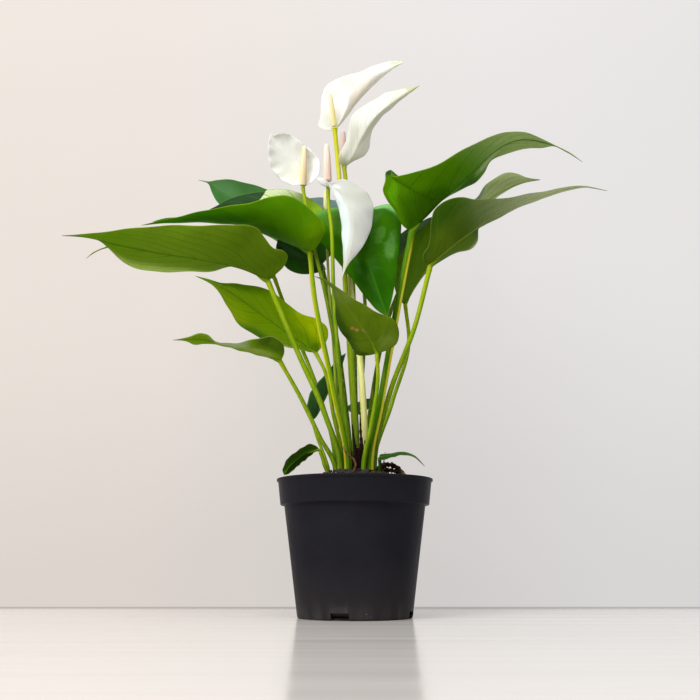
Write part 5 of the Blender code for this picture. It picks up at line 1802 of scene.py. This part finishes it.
        right=((42.5, -8, 331.5), (35, -15, 343), (28, -19, 351.5), (24.5, -22, 359.5), (26.5, -25, 367.5),
          (27, -26, 374.5), (31.5, -26, 376.5), (32, -28, 370), (41.5, -31, 369.5), (54, -34, 372),
          (73, -38, 377.5), (96, -41, 391), (115.5, -42, 399.5), (131.5, -41, 405), (145, -40, 405.5),
          (159, -38, 400.5), (171, -37, 395), (184.5, -38, 387)),
        faces=(0, 0.2, 1), arch_left=(-0.1, -0.15, -0.05), arch_right=(-0.08, -0.1, -0.05)),
        Stalk((12, -11), ((22, -14, 177), (37, -12, 260)), 3.2), TOP_RIGHT, LEMON_STALK),
    Leaf("r3", Blade(
        rib=((63, -22, 292), (77, -25, 303), (94, -28, 316), (111, -31, 328.5), (127.5, -35, 337.5),
          (148.5, -39, 345), (169, -43, 350), (189.5, -46, 353), (211.5, -50, 348)),
        left=((68, -7, 307.5), (81.5, 3, 325), (97, 5, 336), (110.5, 0, 336.5), (120, -8, 337.5),
          (135, -16, 342.5), (151, -25, 347), (166.5, -33, 350), (182.5, -40, 352.5), (196, -46, 352.5)),
        right=((59, -26, 293.5), (57.5, -30, 298.5), (61.5, -34, 304), (63.5, -38, 313.5), (64, -42, 323.5),
          (66.5, -45, 333), (72, -48, 337.5), (80, -51, 340.5), (90, -53, 341.5), (100.5, -54, 339),
          (112, -54, 339), (129, -54, 341), (150, -53, 345), (171.5, -51, 350), (190, -50, 352.5)),
        faces=(0, 0.05, 1), arch_left=(-0.1, -0.1, 0), arch_right=(-0.1, -0.12, -0.05)),
        Stalk((16, -3), ((29, -7, 182), (51, -18, 240)), 2.2), LONG_TIP, PLAIN_STALK),
    Leaf("r5", Blade(
        rib=((44.5, 34, 272), (64, 34, 304), (90.5, 35, 339), (122.5, 35, 370.5), (155.5, 36, 388.5),
          (173.5, 36, 392)),
        left=((49, 41, 279.5), (54, 47, 293.5), (61, 53, 307), (71, 59, 318), (85.5, 65, 327),
          (100.5, 69, 334), (111, 69, 335.5), (117.5, 67, 342.5), (118, 63, 353), (121.5, 57, 366),
          (130.5, 50, 377.5), (144, 44, 386), (159, 39, 390.5)),
        right=((39, 26, 275.5), (35, 18, 288), (38, 13, 305.5), (46, 12, 320.5), (59.5, 12, 335.5),
          (77, 13, 350), (95, 14, 360), (110.5, 15, 366), (119.5, 18, 380.5), (128.5, 22, 388),
          (141.5, 26, 395), (149, 29, 395.5), (160, 32, 392.5)),
        faces=(0, 0.25, 1), arch_left=(-0.1, -0.12, -0.05), arch_right=(-0.1, -0.12, -0.05)),
        Stalk((15, 7), ((32, 10, 178), (48, 24, 234)), 1.8), HIDDEN_RIGHT, PLAIN_STALK, Slot.LEAF_DARK),
    Leaf("r6", Blade(
        rib=((50.5, 46, 315.5), (67.5, 71, 347), (79, 89, 366), (99, 118, 394)),
        left=((38.5, 50, 316.5), (30, 64, 333.5), (39.5, 81, 351), (62, 97, 370), (84, 110, 385)),
        right=((56, 33, 319), (69, 32, 336), (81.5, 46, 354), (91.5, 75, 372.5), (97, 100, 386.5)),
        faces=(0, 0.1, 1)),
        Stalk((9, 14), ((15, 22, 183), (30, 35, 257)), 1.9), NIGHT, DARK_STALK, Slot.LEAF_DARK),
    Leaf("f", Blade(
        rib=((-2, 74, 354), (-10, 83, 365), (-31, 109, 391), (-52.5, 132, 409)),
        left=((-11.5, 63, 352), (-28.5, 62, 366), (-38.5, 73, 380), (-46.5, 95, 393)),
        right=((11.5, 78, 359.5), (16.5, 89, 374.5), (6, 102, 389.5), (-16, 116, 401), (-37.5, 127, 409)),
        faces=(0, -0.3, 1)),
        Stalk((3, 9), ((1, 18, 182), (0, 47, 269)), 1.8), SLATE, DARK_STALK, Slot.LEAF_DARK),
)

BLOOMS = (
    Bloom("t1", spathe(
        rib=((-17.5, 16, 433.5), (-11.5, 15, 443.5), (-3, 13, 454), (10.5, 10, 467), (24.5, 7, 479),
          (35.5, 5, 488), (45.5, 3, 493.6)),
        left=((-24, 14, 431), (-32, 12, 433), (-31, 11, 445), (-30.5, 11, 459.5), (-28, 11, 470.5),
          (-19.5, 10, 478.5), (-7, 9, 483), (7, 8, 487), (18, 7, 491.8), (27.5, 6, 494.6), (38.5, 4, 494.8)),
        right=((-14, 11, 437), (-9.5, 6, 443.5), (-6.5, 2, 451.5), (-4.5, 0, 460), (1.5, -1, 470),
          (8.5, -1, 477), (15, 0, 483.5), (23.5, 1, 485.5), (32.5, 2, 489), (40, 2.5, 491.5)),
        faces=(-0.3, -1, 0.2), arch_left=(-0.04, -0.05, 0), arch_right=(-0.3, -0.4, -0.35), keel=0.4,
        quilt=0.15),
        Stalk((9, -4), ((5, 0, 209), (-9, 13, 325), (-15, 15.6, 400)), 2.9, top=(-18, 12, 432), taper=0.3),
        Spadix((-18.2, 9.5, 432.8), (-22.3, 1.5, 462), 2.5), ROLLED, PALE_STALK,
        SpadixFinish((0.86, 0.72, 0.26), (0.90, 0.80, 0.48), (0.94, 0.86, 0.58)), Slot.SPADIX_YELLOW),
    Bloom("t2", spathe(
        rib=((-9.2, -6, 386.5), (-3, -12, 392), (5, -17, 407), (17, -17, 427), (36.5, -11, 448),
          (60, -4, 467.5)),
        left=((-5, -7, 390.5), (3, -7, 394.5), (9, -8, 397.5), (13, -9, 403), (14, -10, 413),
          (19.5, -10, 426.5), (33.5, -7, 443), (45.5, -5, 455), (54, -4, 462)),
        right=((-12, -9, 388.5), (-14, -12, 394), (-11, -13, 401.5), (-6.5, -11, 412.5), (-5, -9, 427),
          (0.5, -6, 440), (12, -4, 449), (27, -2, 459.5), (41.5, -2, 464), (52, -3, 465)),
        faces=(-0.7, 0.3, 0.5), arch_left=(-0.06, -0.05, -0.04), arch_right=(-0.08, -0.08, -0.06), keel=0.5,
        quilt=0.15),
        Stalk((1, 0), ((-4, 1, 223), (-9, 0, 303), (-8, -5, 376)), 3.0, top=(-9.3, -6, 388.0), taper=0.4),
        Spadix((-10.6, -6.3, 389.6), (-10.2, -9, 420.5), 3.3), SEEN_FROM_BEHIND,
        StalkFinish((0.10, 0.22, 0.003), (0.24, 0.38, 0.006), (0.45, 0.48, 0.02), seated=0.0, flank=0.4),
        SpadixFinish((0.52, 0.38, 0.31), (0.56, 0.43, 0.37), (0.60, 0.48, 0.41)), Slot.SPADIX_PINK),
    Bloom("b3", spathe(
        rib=((-47.5, 15, 379.5), (-53, 13, 390), (-61, 9, 402), (-69, 4, 413.5), (-75.5, -1, 421.5)),
        left=((-52.5, 12, 377.5), (-60.5, 8, 377.5), (-68.5, 4, 382), (-74.5, 0, 389.5), (-77, -2, 400.5),
          (-77, -3, 411.5), (-76, -2, 417.5)),
        right=((-42, 14, 379), (-35.5, 13, 383.5), (-31, 12, 392), (-32, 11, 401), (-37.5, 10, 408),
          (-46.5, 7, 414.5), (-53, 5, 419.5), (-60, 2, 422.5), (-67, 0, 422), (-72, -1, 419.5)),
        faces=(0.3, -1, 0.2), arch_left=(-0.14, -0.16, -0.1), arch_right=(-0.14, -0.16, -0.1), keel=0.4,
        quilt=0.12),
        Stalk((-8, 4), ((-12, 2, 190), (-26, 1, 275), (-35, 9, 314), (-42, 13, 350)), 1.7,
        top=(-46.6, 12, 375)), Spadix((-46.4, 11.2, 376), (-45.2, 7.4, 413), 3.1), GREEN_VEINED,
        StalkFinish((0.09, 0.2, 0.003), (0.15, 0.27, 0.004), (0.36, 0.46, 0.01), seated=0.0),
        SpadixFinish((0.78, 0.58, 0.34), (0.86, 0.72, 0.50), (0.92, 0.82, 0.40)), Slot.SPADIX_CREAM),
    Bloom("b4", spathe(
        rib=((-21.5, -19, 365), (-14.5, -24, 359), (-7.5, -31, 347), (-2.5, -36, 331.5), (-2, -40, 312.5),
          (-4.5, -43, 297), (-7.5, -44.5, 285), (-10.5, -46, 273.5)),
        left=((-16, -17, 369.5), (-10, -15, 372), (-3, -14, 370.5), (4, -14, 364.5), (11, -16, 359),
          (15, -19, 350.5), (16, -24, 338), (14.5, -29, 324.5), (9.5, -35, 309), (2, -40, 296),
          (-4, -43, 288), (-8, -45, 280.5)),
        right=((-25.5, -21, 363.5), (-31, -23, 366), (-32.5, -24, 369.5), (-28, -25, 369), (-21, -26, 359),
          (-15.5, -28, 345.5), (-12, -30, 331), (-11, -33, 315), (-10, -37, 300.5), (-9.5, -41, 288.5),
          (-10, -44, 281)),
        faces=(0.6, -1, 0.5), arch_left=(-0.1, 0.06, 0.03), arch_right=(-0.1, 0.05, 0.02), keel=0.6,
        quilt=0.12),
        Stalk((-3, -8), ((-12, -10, 192), (-18, -20, 272), (-20, -21.6, 325), (-23, -18, 355)), 1.8,
        top=(-23, -19.6, 366.5)), Spadix((-23.4, -20.6, 368), (-24.4, -21, 402.5), 3.5), HANGING,
        StalkFinish((0.085, 0.21, 0.002), (0.15, 0.30, 0.003), (0.32, 0.42, 0.01), seated=0.0, flank=0.5),
        SpadixFinish((0.68, 0.47, 0.40), (0.82, 0.66, 0.55), (0.90, 0.84, 0.66)), Slot.SPADIX_CREAM),
)

BUD = FurledBud(
    Stalk((-14, 6), ((-18, 9, 223), (-24, 12, 310)), 1.3, top=(-25, 8, 350)), (-25, 8, 350.4),
    (-26.4, 7, 371), 2.8,
    StalkFinish((0.20, 0.36, 0.02), (0.34, 0.46, 0.05), (0.66, 0.62, 0.22), seated=0.0),
    StalkFinish((0.80, 0.70, 0.28), (0.88, 0.80, 0.44), (0.84, 0.78, 0.40), seated=0.0, flank=0.2))


def main() -> None:
    """Build the potted plant and its stage."""
    logging.basicConfig(level=logging.INFO, format="%(message)s", stream=sys.stdout)
    for leaf in LEAVES:
        leaf.build()
    for bloom in BLOOMS:
        bloom.build()
    for part in (BUD, NurseryPot(), PottingSoil(), Crown(), DryBits(), Studio()):
        part.build()
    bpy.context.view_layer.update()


if __name__ == "__main__":
    main()
